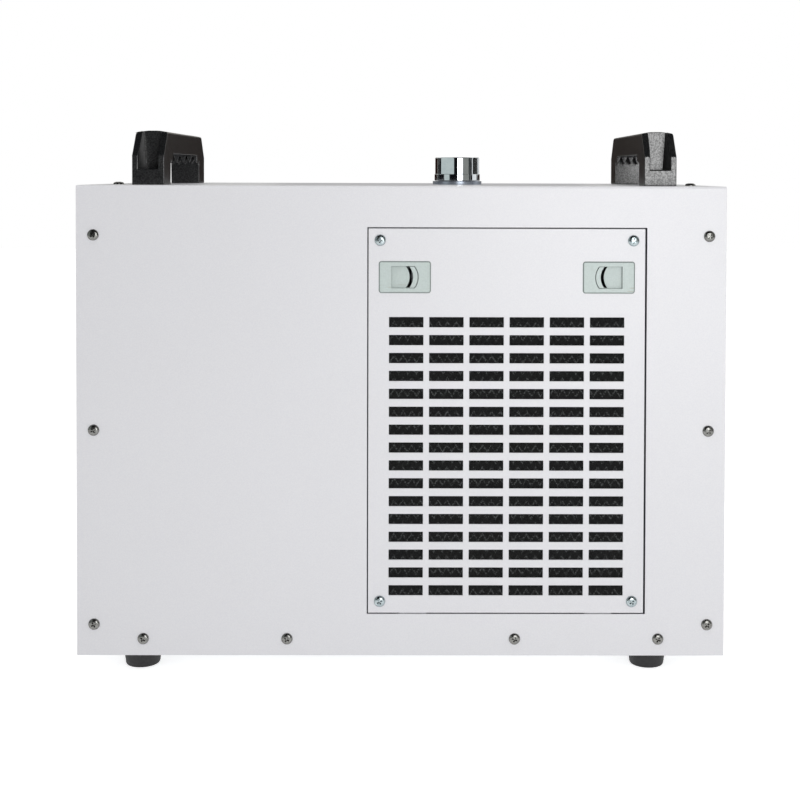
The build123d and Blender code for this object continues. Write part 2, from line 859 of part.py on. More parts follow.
def make_filler_cap():
    """The chromed cap: a round skirt under a grip with four flats."""
    base = filler_flange + cap_play
    crown = base + cap_rise
    step = base + cap_ring
    cavity_r = filler_spigot_r + cap_play
    ceiling = filler_flange + filler_spigot + 2 * cap_play / 3 + seal_thickness
    lead = cap_play
    profile = [(cavity_r, base), (cap_ring_r - lead, base), (cap_ring_r, base + lead),
               (cap_ring_r, step), (cap_r, step), (cap_r, crown - 2 * lead),
               (cap_r - 2 * lead, crown), (0, crown), (0, ceiling), (cavity_r, ceiling)]
    cap = turned((0, 0, 0), (0, 0, 1), profile)
    flat_x = cap_r - cap_flat_depth
    flat = block(flat_x, cap_r + 1, -cap_r, cap_r, step, crown + 1)
    flats = [Rot(0, 0, cap_flat_turn + quarter * 90) * flat for quarter in range(4)]
    return Pos(filler_x, filler_y, top) * (cap - flats)


def make_cap_seal():
    """The flat ring on the top of the neck, under the cap."""
    low = cap_play / 3
    profile = [(filler_bore_r, low), (filler_spigot_r, low),
               (filler_spigot_r, low + seal_thickness), (filler_bore_r, low + seal_thickness)]
    return turned((filler_x, filler_y, neck_top), (0, 0, 1), profile)


def make_tank():
    """The welded water tank, open only at the filler neck."""
    def shape(inset, z0, z1):
        body = block(tank_x0 + inset, tank_x1 - inset, tank_y0 + inset, tank_y1 - inset, z0, z1)
        return fillet(body.edges().filter_by(Axis.Z), tank_corner - inset)
    wall = tank_wall
    mouth = rod((filler_x, filler_y, tank_z1 + 1), (0, 0, -1), filler_bore_r, wall + 2)
    return shape(0, tank_z0, tank_z1) - shape(wall, tank_z0 + wall, tank_z1 - wall) - mouth


def make_tank_stand():
    """The folded shelf under the tank, on two legs with feet."""
    sheet = stand_sheet
    shelf = block(tank_x0 - sheet, tank_x1 + sheet, tank_y0, tank_y1, tank_z0 - sheet, tank_z0)
    parts = [shelf]
    y0 = motor_end + stand_motor_gap
    y1 = tank_y1 - stand_leg_inset
    for inner, out in ((tank_x0, -1), (tank_x1, 1)):
        x0, x1 = sorted((inner, inner + out * sheet))
        parts.append(block(x0, x1, y0, y1, tray_top, tank_z0))
        x0, x1 = sorted((inner, inner - out * stand_foot))
        parts.append(block(x0, x1, y0, y1, tray_top, tray_top + sheet))
    return join(parts)


def make_condenser():
    """The brazed condenser: finned core between two upright headers, standing on two feet."""
    x0, x1 = condenser_x0, condenser_x1
    z0, z1 = condenser_z0, condenser_z1
    core = block(x0, x1, condenser_y0, condenser_y1, z0, z1)
    count = int((x1 - x0) / fin_pitch) - 1
    first = (x0 + x1) / 2 - (count - 1) * fin_pitch / 2
    half = (fin_pitch - fin_thickness) / 2
    gaps = [block(first + i * fin_pitch - half, first + i * fin_pitch + half,
                  condenser_y0 - 1, condenser_y1 + 1, z0 + fin_header, z1 - fin_header)
            for i in range(count)]
    core = core - gaps
    sheet = condenser_sheet
    for x, out in ((x0, -1), (x1, 1)):
        header_x = x + out * (header_r - header_lap)
        core = core + rod((header_x, condenser_y, z0), (0, 0, 1), header_r, z1 - z0)
        a, b = sorted((x, x - out * sheet))
        core = core + block(a, b, condenser_y0, condenser_y1, tray_top, z0)
        a, b = sorted((x, x - out * condenser_foot))
        core = core + block(a, b, condenser_y0, condenser_y1, tray_top, tray_top + sheet)
    stub_x = x0 + header_lap - header_r
    for height in (discharge_height, condenser_outlet_height):
        core = core + rod((stub_x, condenser_y, floor + height), (-1, 0, 0), pipe_stub_r,
                          header_r + header_stub)
    return core


def make_fan_shroud():
    """The sheet box behind the condenser, with the fan's round hole."""
    x0, x1 = condenser_x0, condenser_x1
    z0, z1 = condenser_z0, condenser_z1
    outer = block(x0, x1, condenser_y1, shroud_y1, z0, z1)
    inner = block(x0 + skin, x1 - skin, condenser_y1 - 1, shroud_y1 - skin, z0 + skin, z1 - skin)
    return outer - inner - rod((door_x, shroud_y1 - skin - 1, fan_z), (0, 1, 0), fan_hole_r, skin + 2)


def make_fan_bracket():
    """The ring that holds the motor, on four arms that reach the shroud."""
    reach = fan_hole_r + bracket_arm
    ring = rod((0, 0, 0), (0, 1, 0), motor_r, tray_sheet)
    arm = block(-reach, reach, 0, tray_sheet, -bracket_arm / 2, bracket_arm / 2)
    leg = block(reach - tray_sheet, reach, -bracket_standoff, tray_sheet,
                -bracket_arm / 2, bracket_arm / 2)
    cross = [ring]
    for angle in (45, 135):
        cross.append(Rot(0, angle, 0) * arm)
    for angle in (45, 135, 225, 315):
        cross.append(Rot(0, angle, 0) * leg)
    bracket = join(cross) - rod((0, -1, 0), (0, 1, 0), fan_shaft_r + screw_play, 4 * skin)
    return Pos(door_x, bracket_y, fan_z) * bracket


def make_fan_motor():
    """The fan's motor and its shaft."""
    back = tray_sheet
    front = -bracket_standoff - hub_depth / 2
    edge = 4.0
    profile = [(0, front), (fan_shaft_r, front), (fan_shaft_r, back), (motor_r - edge, back),
               (motor_r, back + edge), (motor_r, back + motor_length - edge),
               (motor_r - edge, back + motor_length), (0, back + motor_length)]
    return turned((door_x, bracket_y, fan_z), (0, 1, 0), profile)


def make_fan_rotor():
    """The fan wheel: a hub with pitched blades."""
    half = hub_depth / 2
    hub = rod((0, -half, 0), (0, 1, 0), hub_r, hub_depth)
    blade = block(0, fan_r + 1, -blade_sheet / 2, blade_sheet / 2, -hub_r / 1.3, hub_r / 1.3)
    blade = Rot(blade_angle, 0, 0) * blade
    wheel = [hub]
    for i in range(blade_count):
        wheel.append(Rot(0, i * 360 / blade_count, 0) * blade)
    rim = rod((0, -half, 0), (0, 1, 0), fan_r, hub_depth)
    rotor = join(wheel) & rim
    rotor = rotor - rod((0, -half - 1, 0), (0, 1, 0), fan_shaft_r + fan_shaft_play, hub_depth + 2)
    return Pos(door_x, shroud_y1, fan_z) * rotor


def make_compressor():
    """The welded compressor can on its foot plate, with two pipe stubs."""
    half = compressor_foot / 2
    foot = block(-half, half, -half, half, 0, compressor_foot_sheet)
    can_z1 = compressor_foot_sheet + compressor_height
    dome = compressor_dome
    profile = [(0, 0), (compressor_r - dome / 2, 0), (compressor_r, dome), (compressor_r, can_z1 - dome),
               (compressor_r - dome / 2, can_z1), (0, can_z1)]
    can = turned((0, 0, 0), (0, 0, 1), profile)
    stubs = [rod((x, y, can_z1 - 1), (0, 0, 1), pipe_stub_r, pipe_stub + 1) for x, y in stub_places()]
    return Pos(compressor_x, compressor_y, compressor_z0) * join([foot, can] + stubs)


def stub_places():
    """X and Y of the discharge and suction stubs, from the compressor's axis."""
    return [(compressor_r / 4, -compressor_r / 2.6), (0, compressor_r / 2)]


def make_compressor_mounts():
    """The four rubber mounts between the tray and the compressor's foot."""
    reach = compressor_foot / 2 - compressor_mount_inset
    return group([rod((compressor_x + i * reach, compressor_y + j * reach, tray_top), (0, 0, 1),
                      compressor_mount_r, compressor_mount) for i in (-1, 1) for j in (-1, 1)])


def make_pump():
    """The circulation pump: head with its inlet on top, motor and foot."""
    head = rod((pump_x0, pump_y, pump_z), (1, 0, 0), pump_head_r, pump_head)
    motor = rod((pump_x0 + pump_head, pump_y, pump_z), (1, 0, 0), pump_r, pump_motor)
    half = pump_foot_width / 2
    foot = block(pump_x0 + pump_head, pump_x0 + pump_head + pump_motor, pump_y - half, pump_y + half,
                 tray_top, pump_z)
    inlet = rod((pump_x, pump_y, pump_z), (0, 0, 1), hose_r, pump_head_r + pipe_stub)
    outlet = rod((pump_x, pump_y, pump_z), (0, 1, 0), hose_r, pump_head_r + pipe_stub)
    return join([head, motor, foot, inlet, outlet])


def make_evaporator():
    """The brazed plate heat exchanger that cools the water."""
    return block(evaporator_x0, evaporator_x0 + evaporator_length, evaporator_y0, evaporator_y1,
                 tray_top, tray_top + evaporator_height)


def drier_x():
    """X of the drier, beside the condenser."""
    return condenser_x0 - drier_gap


def make_filter_drier():
    """The spun copper drier in the liquid line."""
    neck = pipe_stub
    profile = [(0, 0), (pipe_stub_r, 0), (drier_r, neck), (drier_r, drier_length - neck),
               (pipe_stub_r, drier_length), (0, drier_length)]
    return turned((drier_x(), condenser_y, floor + drier_bottom), (0, 0, 1), profile)


def make_refrigerant_pipes():
    """Discharge, condenser outlet, liquid and suction pipes."""
    end_x = condenser_x0 + header_lap - 2 * header_r - header_stub
    hot, cold = [(compressor_x + x, compressor_y + y) for x, y in stub_places()]
    high = floor + discharge_height
    discharge = [(hot[0], hot[1], stub_top), (hot[0], hot[1], high),
                 (hot[0], condenser_y, high), (end_x, condenser_y, high)]
    low = floor + condenser_outlet_height
    outlet = [(end_x, condenser_y, low), (drier_x(), condenser_y, low),
              (drier_x(), condenser_y, floor + drier_bottom)]
    liquid_z = floor + liquid_pipe_height + 2 * pipe_bend
    liquid = [(drier_x(), condenser_y, floor + drier_bottom + drier_length),
              (drier_x(), condenser_y, liquid_z), (drier_x(), evaporator_y, liquid_z),
              (evaporator_x0 + evaporator_port_inset, evaporator_y, liquid_z),
              (evaporator_x0 + evaporator_port_inset, evaporator_y, tray_top + evaporator_height)]
    low_z = floor + low_pipe_height
    high_z = floor + high_pipe_height
    suction = [(evaporator_x0, evaporator_y, low_z), (cold[0], evaporator_y, low_z),
               (cold[0], evaporator_y, high_z), (cold[0], cold[1], high_z),
               (cold[0], cold[1], stub_top)]
    return group([bent(points, pipe_bend, pipe_r) for points in (discharge, outlet, liquid, suction)])


def make_water_hoses():
    """Hoses from the ports and the tank to the pump, the evaporator, the drain and the gauge."""
    (return_y, return_z), (supply_y, supply_z), (low_y, low_z) = port_places()
    suction_z = tank_z0 + tank_wall + 2 * hose_r
    drain_z = tank_z0 + tank_wall + hose_r
    drain_x = pump_x0 + pump_head + pump_motor + 2 * hose_r
    outlet_x = evaporator_x0 + evaporator_length - evaporator_port_inset
    hoses = [
        bent([(port_inner_x, return_y, return_z), (tank_x1, return_y, return_z)], hose_bend, hose_r),
        bent([(tank_x1, pump_y, suction_z), (pump_x, pump_y, suction_z),
              (pump_x, pump_y, pump_z + pump_head_r + pipe_stub)], hose_bend, hose_r),
        bent([(pump_x, pump_y + pump_head_r + pipe_stub, pump_z), (pump_x, evaporator_y0, pump_z)],
             hose_bend, hose_r),
        bent([(outlet_x, evaporator_y0, supply_z), (outlet_x, supply_y, supply_z),
              (port_inner_x, supply_y, supply_z)], hose_bend, hose_r),
        bent([(tank_x1, low_y, drain_z), (drain_x, low_y, drain_z), (drain_x, low_y, low_z),
              (port_inner_x, low_y, low_z)], hose_bend, hose_r),
        bent([(tank_x1, gauge_y, gauge_z0 + gauge_hose_inset),
              (half_length - gauge_depth, gauge_y, gauge_z0 + gauge_hose_inset)], pipe_bend, pipe_r),
    ]
    return group(hoses)


def make_controller_box():
    """The controller's case behind the front panel."""
    y = bezel_width / 2 - controller_margin
    z = bezel_height / 2 - controller_margin
    return block(-half_length, -half_length + controller_depth, -y, y, bezel_z - z, bezel_z + z)


def key_places():
    """Y of the four keys, left to right as seen from the front."""
    return [(i - 1.5) * key_pitch for i in range(4)]


def front_block(y, half_y, z, half_z, x0, x1):
    """A block on the front panel, between two depths out from its face."""
    return block(-half_length - x1, -half_length - x0, y - half_y, y + half_y, z - half_z, z + half_z)


def make_panel_bezel():
    """The controller's frame, with a raised rim, a display opening and key holes."""
    frame = front_block(0, bezel_width / 2, bezel_z, bezel_height / 2, 0, front_reach)
    frame = fillet(frame.edges().filter_by(Axis.X), bezel_corner)
    rim = bezel_rim
    frame = frame - front_block(0, bezel_width / 2 - rim, bezel_z, bezel_height / 2 - rim,
                                front_reach - bezel_step, front_reach + 1)
    frame = frame - front_block(0, display_width / 2, bezel_z + display_rise, display_height / 2,
                                -1, front_reach)
    half_y = key_width / 2 + key_play
    half_z = key_height / 2 + key_play
    return frame - [front_block(y, half_y, bezel_z - key_fall, half_z, -1, front_reach)
                    for y in key_places()]


def make_display_window():
    """The clear pane over the display."""
    return front_block(0, display_width / 2 - key_play / 3, bezel_z + display_rise,
                       display_height / 2 - key_play / 3, 0, front_reach - bezel_step)


def make_key(y):
    """One press key, standing proud of the bezel's face."""
    back = key_travel + key_play / 3
    key = front_block(y, key_width / 2, bezel_z - key_fall, key_height / 2,
                      back, front_reach - bezel_step + key_rise)
    return fillet(key.edges().filter_by(Axis.X), key_rise)


def make_power_box():
    """The terminal box behind the front panel."""
    z0 = floor + power_box_lift
    return block(-inner_x, -inner_x + power_box_depth, -power_box_width / 2, power_box_width / 2,
                 z0, z0 + power_box_height)


def make_hose_port(y, z):
    """A bulkhead port: stub inside, hexagon outside and a plain hose spigot."""
    body_r = hose_r
    spigot_x = rear_reach - port_spigot
    end = rear_reach
    lead = 1.0
    inner = port_inner_x - half_length
    profile = [(port_bore_r, inner), (body_r, inner), (body_r, spigot_x), (port_spigot_r, spigot_x),
               (port_spigot_r, end - lead), (port_spigot_r - lead, end), (port_bore_r, end)]
    hexagon = prism(RegularPolygon(port_hex / 2, 6, major_radius=False).wire(), (0, 0, 1), spigot_x)
    bore = Cylinder(hose_r - 1, 3 * spigot_x)
    collar = Plane(origin=(half_length, y, z), z_dir=(1, 0, 0)) * (hexagon - bore)
    return turned((half_length, y, z), (1, 0, 0), profile) + collar


def make_drain_port():
    """The drain's bulkhead fitting with its threaded spigot."""
    end = drain_flange + drain_spigot
    inner = port_inner_x - half_length
    profile = [(port_bore_r, inner), (hose_r, inner), (hose_r, 0), (drain_flange_r, 0),
               (drain_flange_r, drain_flange), (drain_spigot_r, drain_flange),
               (drain_spigot_r, end), (port_bore_r, end)]
    return turned((half_length, drain_y, floor + drain_height), (1, 0, 0), profile)


def make_drain_seal():
    """The flat ring between the drain's spigot and its cap."""
    low = cap_play / 3
    seal = seal_thickness * 0.8
    profile = [(port_bore_r, low), (drain_spigot_r, low), (drain_spigot_r, low + seal),
               (port_bore_r, low + seal)]
    return turned((drain_end, drain_y, floor + drain_height), (1, 0, 0), profile)


def make_drain_cap():
    """The screw cap of the drain, with flats for fingers."""
    base = drain_flange + cap_play
    cavity_r = drain_spigot_r + cap_play
    ceiling = drain_flange + drain_spigot + 2 * cap_play / 3 + seal_thickness * 0.8
    profile = [(cavity_r, base), (drain_cap_r, base), (drain_cap_r, rear_reach - 1),
               (drain_cap_r - 1, rear_reach), (0, rear_reach), (0, ceiling), (cavity_r, ceiling)]
    cap = turned((half_length, drain_y, floor + drain_height), (1, 0, 0), profile)
    sides = RegularPolygon(drain_cap_flat, 8, major_radius=False).wire()
    octagon = prism(sides, (0, 0, 1), rear_reach + 1)
    return cap & (Plane(origin=(half_length, drain_y, floor + drain_height), z_dir=(1, 0, 0)) * octagon)


def rear_block(y, half_y, z, half_z, x0, x1):
    """A block on the rear panel, between two depths out from its face."""
    return block(half_length + x0, half_length + x1, y - half_y, y + half_y, z - half_z, z + half_z)


def make_level_gauge():
    """The level gauge's frame, with its long sight slot."""
    z = gauge_z0 + gauge_height / 2
    plate = rear_block(gauge_y, gauge_width / 2, z, gauge_height / 2, 0, gauge_rise)
    plate = fillet(plate.edges().filter_by(Axis.X), gauge_wall)
    half_y, half_z = gauge_slot_width / 2, gauge_slot_height / 2
    body = rear_block(gauge_y, half_y + gauge_wall, z, half_z + gauge_wall, -gauge_depth, 0)
    return plate + body - rear_block(gauge_y, half_y, z, half_z, gauge_wall - gauge_depth, gauge_rise + 1)


def make_gauge_lens():
    """The clear strip in the level gauge."""
    z = gauge_z0 + gauge_height / 2
    play = key_play / 3
    return rear_block(gauge_y, gauge_slot_width / 2 - play, z, gauge_slot_height / 2 - play,
                      0, lens_sheet)


def make_mains_inlet():
    """The mains socket: flange, sleeve and the recess for the plug."""
    z = floor + inlet_height
    flange = rear_block(inlet_y, inlet_width / 2, z, inlet_tall / 2, 0, inlet_rise)
    flange = fillet(flange.edges().filter_by(Axis.X), 2 * socket_wall)
    half_y, half_z = socket_width / 2, socket_tall / 2
    wall = socket_wall
    back = inlet_rise - socket_depth
    sleeve = rear_block(inlet_y, half_y + wall, z, half_z + wall, back - wall, 0)
    recess = rear_block(inlet_y, half_y, z, half_z, back, inlet_rise + 1)
    recess = chamfer(recess.edges().filter_by(Axis.X).group_by(Axis.Z)[-1], socket_chamfer)
    return flange + sleeve - recess


def make_inlet_pins():
    """The three flat pins in the mains socket."""
    back = inlet_rise - socket_depth
    pins = []
    for i in (-1, 0, 1):
        z = floor + inlet_height + (pin_offset if i == 0 else -pin_offset)
        pins.append(rear_block(inlet_y + i * pin_pitch, pin_width / 2, z, pin_tall / 2,
                               back, back + pin_length))
    return group(pins)


def switch_half():
    """Half of the switch's opening: the rocker's corner swings just inside it."""
    corner = ((rocker_tall / 2) ** 2 + rocker_crown ** 2) ** 0.5
    return corner + rocker_play


def make_switch_frame():
    """The rocker switch's frame and its case."""
    z = floor + switch_height
    half_y, half_z = rocker_width / 2 + rocker_play, switch_half()
    wall = switch_wall
    rim = wall + switch_rim
    flange = rear_block(inlet_y, half_y + rim, z, half_z + rim, 0, switch_rise)
    case = rear_block(inlet_y, half_y + wall, z, half_z + wall, -switch_depth, 0)
    hollow = rear_block(inlet_y, half_y, z, half_z, wall - switch_depth, switch_rise + 1)
    return flange + case - hollow


def make_power_rocker():
    """The rocker, pressed at its lower end."""
    half = rocker_tall / 2
    outline = Polyline((rocker_crown, -half), (rocker_crown / 3, 0), (rocker_crown, half),
                       (-rocker_depth / 2, half * 0.86), (-rocker_depth, 0),
                       (-rocker_depth / 2, -half * 0.86), close=True)
    body = Pos(0, -rocker_width / 2, 0) * prism(Plane.XZ * outline, (0, 1, 0), rocker_width)
    return Pos(half_length, inlet_y, floor + switch_height) * Rot(0, rocker_tilt, 0) * body


def make_side_screws():
    """The screws along both sides of the cover."""
    screws = []
    for x, z in side_screw_places():
        for side in (-1, 1):
            screws.append(pan_screw((x, side * half_width, z), (0, -side, 0), screw_head_r,
                                    screw_head_rise, screw_shank_r, screw_length))
    return group(screws)


def make_top_screws():
    """The screws in the top of the cover."""
    return group([pan_screw((x, y, top), (0, 0, -1), screw_head_r, screw_head_rise,
                            screw_shank_r, screw_length) for x, y in top_screw_places()])


def save(name, part):
    """Writes one piece, with the origin under the middle of the whole object."""
    solids = [Pos(shift_x, 0, 0) * solid for solid in part.solids()]
    export_step(solids[0] if len(solids) == 1 else Compound(children=solids), f"parts/{name}.step")


os.makedirs("parts", exist_ok=True)

save("base_tray", make_base_tray())
save("wrap_cover", make_wrap_cover())
save("front_panel", make_front_panel())
save("rear_panel", make_rear_panel())
save("window_frame", make_window_frame())
save("side_screws", make_side_screws())
save("top_screws", make_top_screws())

save("filter_door", make_filter_door())
save("filter_pad", make_filter_pad())
save("pad_frame", make_pad_frame())
save("filter_screws", make_filter_screws())
latch_body = make_latch_body()
latch_slider = make_latch_slider()
save("latch_body_left", latch_body)
save("latch_body_right", opposite(latch_body))
save("latch_slider_left", latch_slider)
save("latch_slider_right", opposite(latch_slider))

handle = make_handle()
save("handle_front", Pos(handle_front_x, 0, top) * handle)
save("handle_rear", Pos(handle_rear_x, 0, top) * handle)
save("handle_screws", make_handle_screws())
for foot_name, foot_x, foot_y in foot_places():
    save(f"foot_{foot_name}", make_foot(foot_x, foot_y))
save("foot_screws", make_foot_screws())

save("filler_neck", make_filler_neck())
save("filler_cap", make_filler_cap())
save("cap_seal", make_cap_seal())
save("water_tank", make_tank())
save("tank_stand", make_tank_stand())

save("condenser", make_condenser())
save("fan_shroud", make_fan_shroud())
save("fan_bracket", make_fan_bracket())
save("fan_motor", make_fan_motor())
save("fan_rotor", make_fan_rotor())
save("compressor", make_compressor())
save("compressor_mounts", make_compressor_mounts())
save("pump", make_pump())
save("evaporator", make_evaporator())
save("filter_drier", make_filter_drier())
save("refrigerant_pipes", make_refrigerant_pipes())
save("water_hoses", make_water_hoses())

save("controller_box", make_controller_box())
save("panel_bezel", make_panel_bezel())
save("display_window", make_display_window())
for key_name, key_y in zip(("set", "up", "down", "reset"), key_places()):
    save(f"key_{key_name}", make_key(key_y))
save("power_box", make_power_box())

for port_name, (hose_y, hose_z) in zip(("return", "supply"), port_places()):
    save(f"{port_name}_port", make_hose_port(hose_y, hose_z))
save("drain_port", make_drain_port())
save("drain_seal", make_drain_seal())
save("drain_cap", make_drain_cap())
save("level_gauge", make_level_gauge())
save("gauge_lens", make_gauge_lens())
save("mains_inlet", make_mains_inlet())
save("inlet_pins", make_inlet_pins())
save("switch_frame", make_switch_frame())
save("power_rocker", make_power_rocker())
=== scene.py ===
# %% [markdown]
# # A bench chiller, dressed
# The chiller is a powder-coated sheet cabinet that cools a closed loop of water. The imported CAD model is
# loaded first and stays fixed: it gives every size and place. Each later step takes one of its pieces and
# gives it the finish, the soft edges and the small detail that the eye expects from a step away.

# %% Load the fixed frame
import json
from math import cos, pi, radians, sin

import bmesh
import bpy
from mathutils import Matrix, Vector


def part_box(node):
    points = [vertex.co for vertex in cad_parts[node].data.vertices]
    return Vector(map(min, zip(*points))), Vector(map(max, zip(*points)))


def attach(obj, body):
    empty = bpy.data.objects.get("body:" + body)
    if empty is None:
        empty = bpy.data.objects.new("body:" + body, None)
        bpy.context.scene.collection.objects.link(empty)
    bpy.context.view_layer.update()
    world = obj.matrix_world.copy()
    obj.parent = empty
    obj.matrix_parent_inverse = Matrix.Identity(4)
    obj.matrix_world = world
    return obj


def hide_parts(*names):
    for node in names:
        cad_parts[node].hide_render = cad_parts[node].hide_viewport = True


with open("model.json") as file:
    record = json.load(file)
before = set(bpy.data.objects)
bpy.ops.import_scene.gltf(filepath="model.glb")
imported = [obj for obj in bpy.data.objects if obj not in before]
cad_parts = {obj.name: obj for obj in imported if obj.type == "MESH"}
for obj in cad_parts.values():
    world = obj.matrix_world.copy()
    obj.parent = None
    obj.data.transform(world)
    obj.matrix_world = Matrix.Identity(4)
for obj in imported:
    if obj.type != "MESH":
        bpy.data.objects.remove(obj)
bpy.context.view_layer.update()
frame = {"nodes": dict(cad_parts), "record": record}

nodes = frame["nodes"]
print(len(nodes), "pieces in the frame")

# %% [markdown]
# ## The camera
# The photograph looks almost squarely at the filter side, from just above the cover's height. A shifted lens
# keeps upright edges upright while the frame slides down over the cabinet, as a product camera does. A little
# pitch and roll would be easy to leave out, but the feet and the cover's edge only land on theirs with them.

# %% Camera at the photograph's place
camera_place = Vector((0.0109, -1.2435, 0.4357))
pitch, yaw, roll = radians(1.267), radians(0.308), radians(0.161)
ahead = Vector((sin(yaw) * cos(pitch), cos(yaw) * cos(pitch), -sin(pitch)))
camera_data = bpy.data.cameras.new("camera")
camera_data.lens = 58.1
camera_data.sensor_width = 36.0
camera_data.shift_x = -0.04
camera_data.shift_y = -0.249
camera = bpy.data.objects.new("camera", camera_data)
bpy.context.scene.collection.objects.link(camera)
upright = ahead.to_track_quat("-Z", "Y").to_matrix().to_4x4()
camera.matrix_world = Matrix.Translation(camera_place) @ upright @ Matrix.Rotation(roll, 4, "Z")
bpy.context.scene.camera = camera
print("camera", round(camera_data.lens, 1), "mm")

# %% [markdown]
# ## Light and backdrop
# The product stands on a white floor before a white backdrop. A tall soft box to the right of the camera
# lights the paint and is what the black plastic mirrors, a weaker one fills from the left, and a third lies
# overhead, hidden from mirrors. Black, brown, grey, green-grey and pale cards that only reflections can see
# stand where the studio's walls and curtains are: without them chrome looks like white paint and black
# plastic like grey, because they have only white to mirror.

# %% Lamps and world
def area_lamp(name, place, aim, size, power):
    """A soft box at a place, turned towards a point."""
    data = bpy.data.lights.new(name, "AREA")
    data.shape = "RECTANGLE"
    data.size, data.size_y = size
    data.energy = power
    lamp = bpy.data.objects.new(name, data)
    lamp.location = place
    lamp.rotation_euler = (Vector(aim) - Vector(place)).to_track_quat("-Z", "Y").to_euler()
    bpy.context.scene.collection.objects.link(lamp)
    return lamp


def seen_rays(tree, *kinds):
    """One for the named kinds of ray and zero for the rest."""
    path = tree.nodes.new("ShaderNodeLightPath")
    total = path.outputs[kinds[0]]
    for kind in kinds[1:]:
        both = tree.nodes.new("ShaderNodeMath")
        both.operation = "MAXIMUM"
        tree.links.new(total, both.inputs[0])
        tree.links.new(path.outputs[kind], both.inputs[1])
        total = both.outputs[0]
    return total


def world_light(strength):
    """An even world that lights gently and is seen and mirrored as white."""
    world = bpy.data.worlds.new("studio")
    bpy.context.scene.world = world
    world.use_nodes = True
    tree = world.node_tree
    mix = tree.nodes.new("ShaderNodeMapRange")
    mix.inputs["To Min"].default_value = strength
    mix.inputs["To Max"].default_value = 1.0
    seen = seen_rays(tree, "Is Camera Ray", "Is Glossy Ray", "Is Transmission Ray")
    tree.links.new(seen, mix.inputs["Value"])
    tree.links.new(mix.outputs["Result"], tree.nodes["Background"].inputs["Strength"])
    tree.nodes["Background"].inputs["Color"].default_value = (1.0, 1.0, 1.0, 1.0)


bpy.context.scene.view_settings.view_transform = "Standard"
world_light(0.46)
area_lamp("box_right", (0.40, -1.55, 0.54), (0.2, 0.0, 0.4), (0.66, 0.95), 9.5)
area_lamp("box_left", (-1.38, -0.93, 0.66), (0.04, 0.0, 0.46), (0.9, 1.3), 0.85)
overhead = area_lamp("box_top", (0.1, -0.1, 1.7), (0.0, 0.0, 0.3), (1.4, 1.2), 5.6)
overhead.visible_glossy = False
print("a world and three lamps")

# %% Floor and cards
def flat_sheet(name, width, height, place, facing, material):
    """A plain sheet at a place, turned to face a direction, that isn't part of the object."""
    shape = bmesh.new()
    bmesh.ops.create_grid(shape, x_segments=1, y_segments=1, size=0.5)
    bmesh.ops.scale(shape, verts=shape.verts, vec=(width, height, 1.0))
    data = bpy.data.meshes.new(name)
    shape.to_mesh(data)
    shape.free()
    data.materials.append(material)
    sheet = bpy.data.objects.new(name, data)
    sheet.location = place
    sheet.rotation_euler = Vector(facing).to_track_quat("Z", "Y").to_euler()
    bpy.context.scene.collection.objects.link(sheet)
    return sheet


def floor_finish():
    """A pale floor that the camera sees as white wherever no shadow falls."""
    material = bpy.data.materials.new("floor_white")
    material.use_nodes = True
    tree = material.node_tree
    shader = tree.nodes["Principled BSDF"]
    shader.inputs["Base Color"].default_value = (0.8, 0.8, 0.8, 1.0)
    shader.inputs["Roughness"].default_value = 0.9
    shader.inputs["Specular IOR Level"].default_value = 0.0
    shader.inputs["Emission Color"].default_value = (1.0, 1.0, 1.0, 1.0)
    glow = tree.nodes.new("ShaderNodeMath")
    glow.operation = "MULTIPLY"
    glow.inputs[1].default_value = 0.7
    tree.links.new(seen_rays(tree, "Is Camera Ray", "Is Glossy Ray", "Is Transmission Ray"), glow.inputs[0])
    tree.links.new(glow.outputs[0], shader.inputs["Emission Strength"])
    return material


def card_finish(name, shade):
    """A card of one even shade, whatever light falls on it."""
    material = bpy.data.materials.new(name)
    material.use_nodes = True
    shader = material.node_tree.nodes["Principled BSDF"]
    shader.inputs["Base Color"].default_value = (0.0, 0.0, 0.0, 1.0)
    shader.inputs["Specular IOR Level"].default_value = 0.0
    shader.inputs["Emission Color"].default_value = shade + (1.0,)
    shader.inputs["Emission Strength"].default_value = 1.0
    return material


flat_sheet("floor", 12.0, 12.0, (0, 0, 0), (0, 0, 1), floor_finish())
black_card = card_finish("card_black", (0.006, 0.006, 0.007))
grey_card = card_finish("card_grey", (0.30, 0.30, 0.28))
pale_card = card_finish("card_pale", (0.60, 0.59, 0.55))
brown_card = card_finish("card_brown", (0.018, 0.008, 0.006))
green_card = card_finish("card_green_grey", (0.40, 0.46, 0.44))
cards = [
    flat_sheet("card_behind_camera", 3.2, 3.0, (-0.7, -2.1, 0.9), (0, 1, 0), black_card),
    flat_sheet("card_left", 2.4, 2.4, (-2.0, 0.5, 0.9), (1, 0, 0), black_card),
    flat_sheet("card_behind_lamp", 1.1, 1.5, (-1.50, -1.01, 0.7), (0.84, 0.54, 0), green_card),
    flat_sheet("card_right", 1.5, 2.4, (1.75, -1.6, 0.9), (-0.74, 0.68, 0), grey_card),
    flat_sheet("card_far_right", 0.75, 2.4, (2.3, -0.68, 0.9), (-1, 0, 0), black_card),
    flat_sheet("card_back", 3.2, 1.3, (-0.4, 1.3, 0.75), (0, -1, 0), pale_card),
    flat_sheet("card_back_low", 3.4, 0.12, (-0.1, 1.28, 0.455), (0, -1, 0), brown_card),
    flat_sheet("card_back_middle", 0.6, 0.5, (0.02, 1.27, 0.5), (0, -1, 0), brown_card),
    flat_sheet("card_above", 4.0, 3.8, (-0.3, -1.0, 2.0), (0, 0, -1), black_card),
]
for card in cards:
    card.visible_camera = False
    card.visible_diffuse = False
    card.visible_shadow = False
print("a floor and", len(cards), "cards")

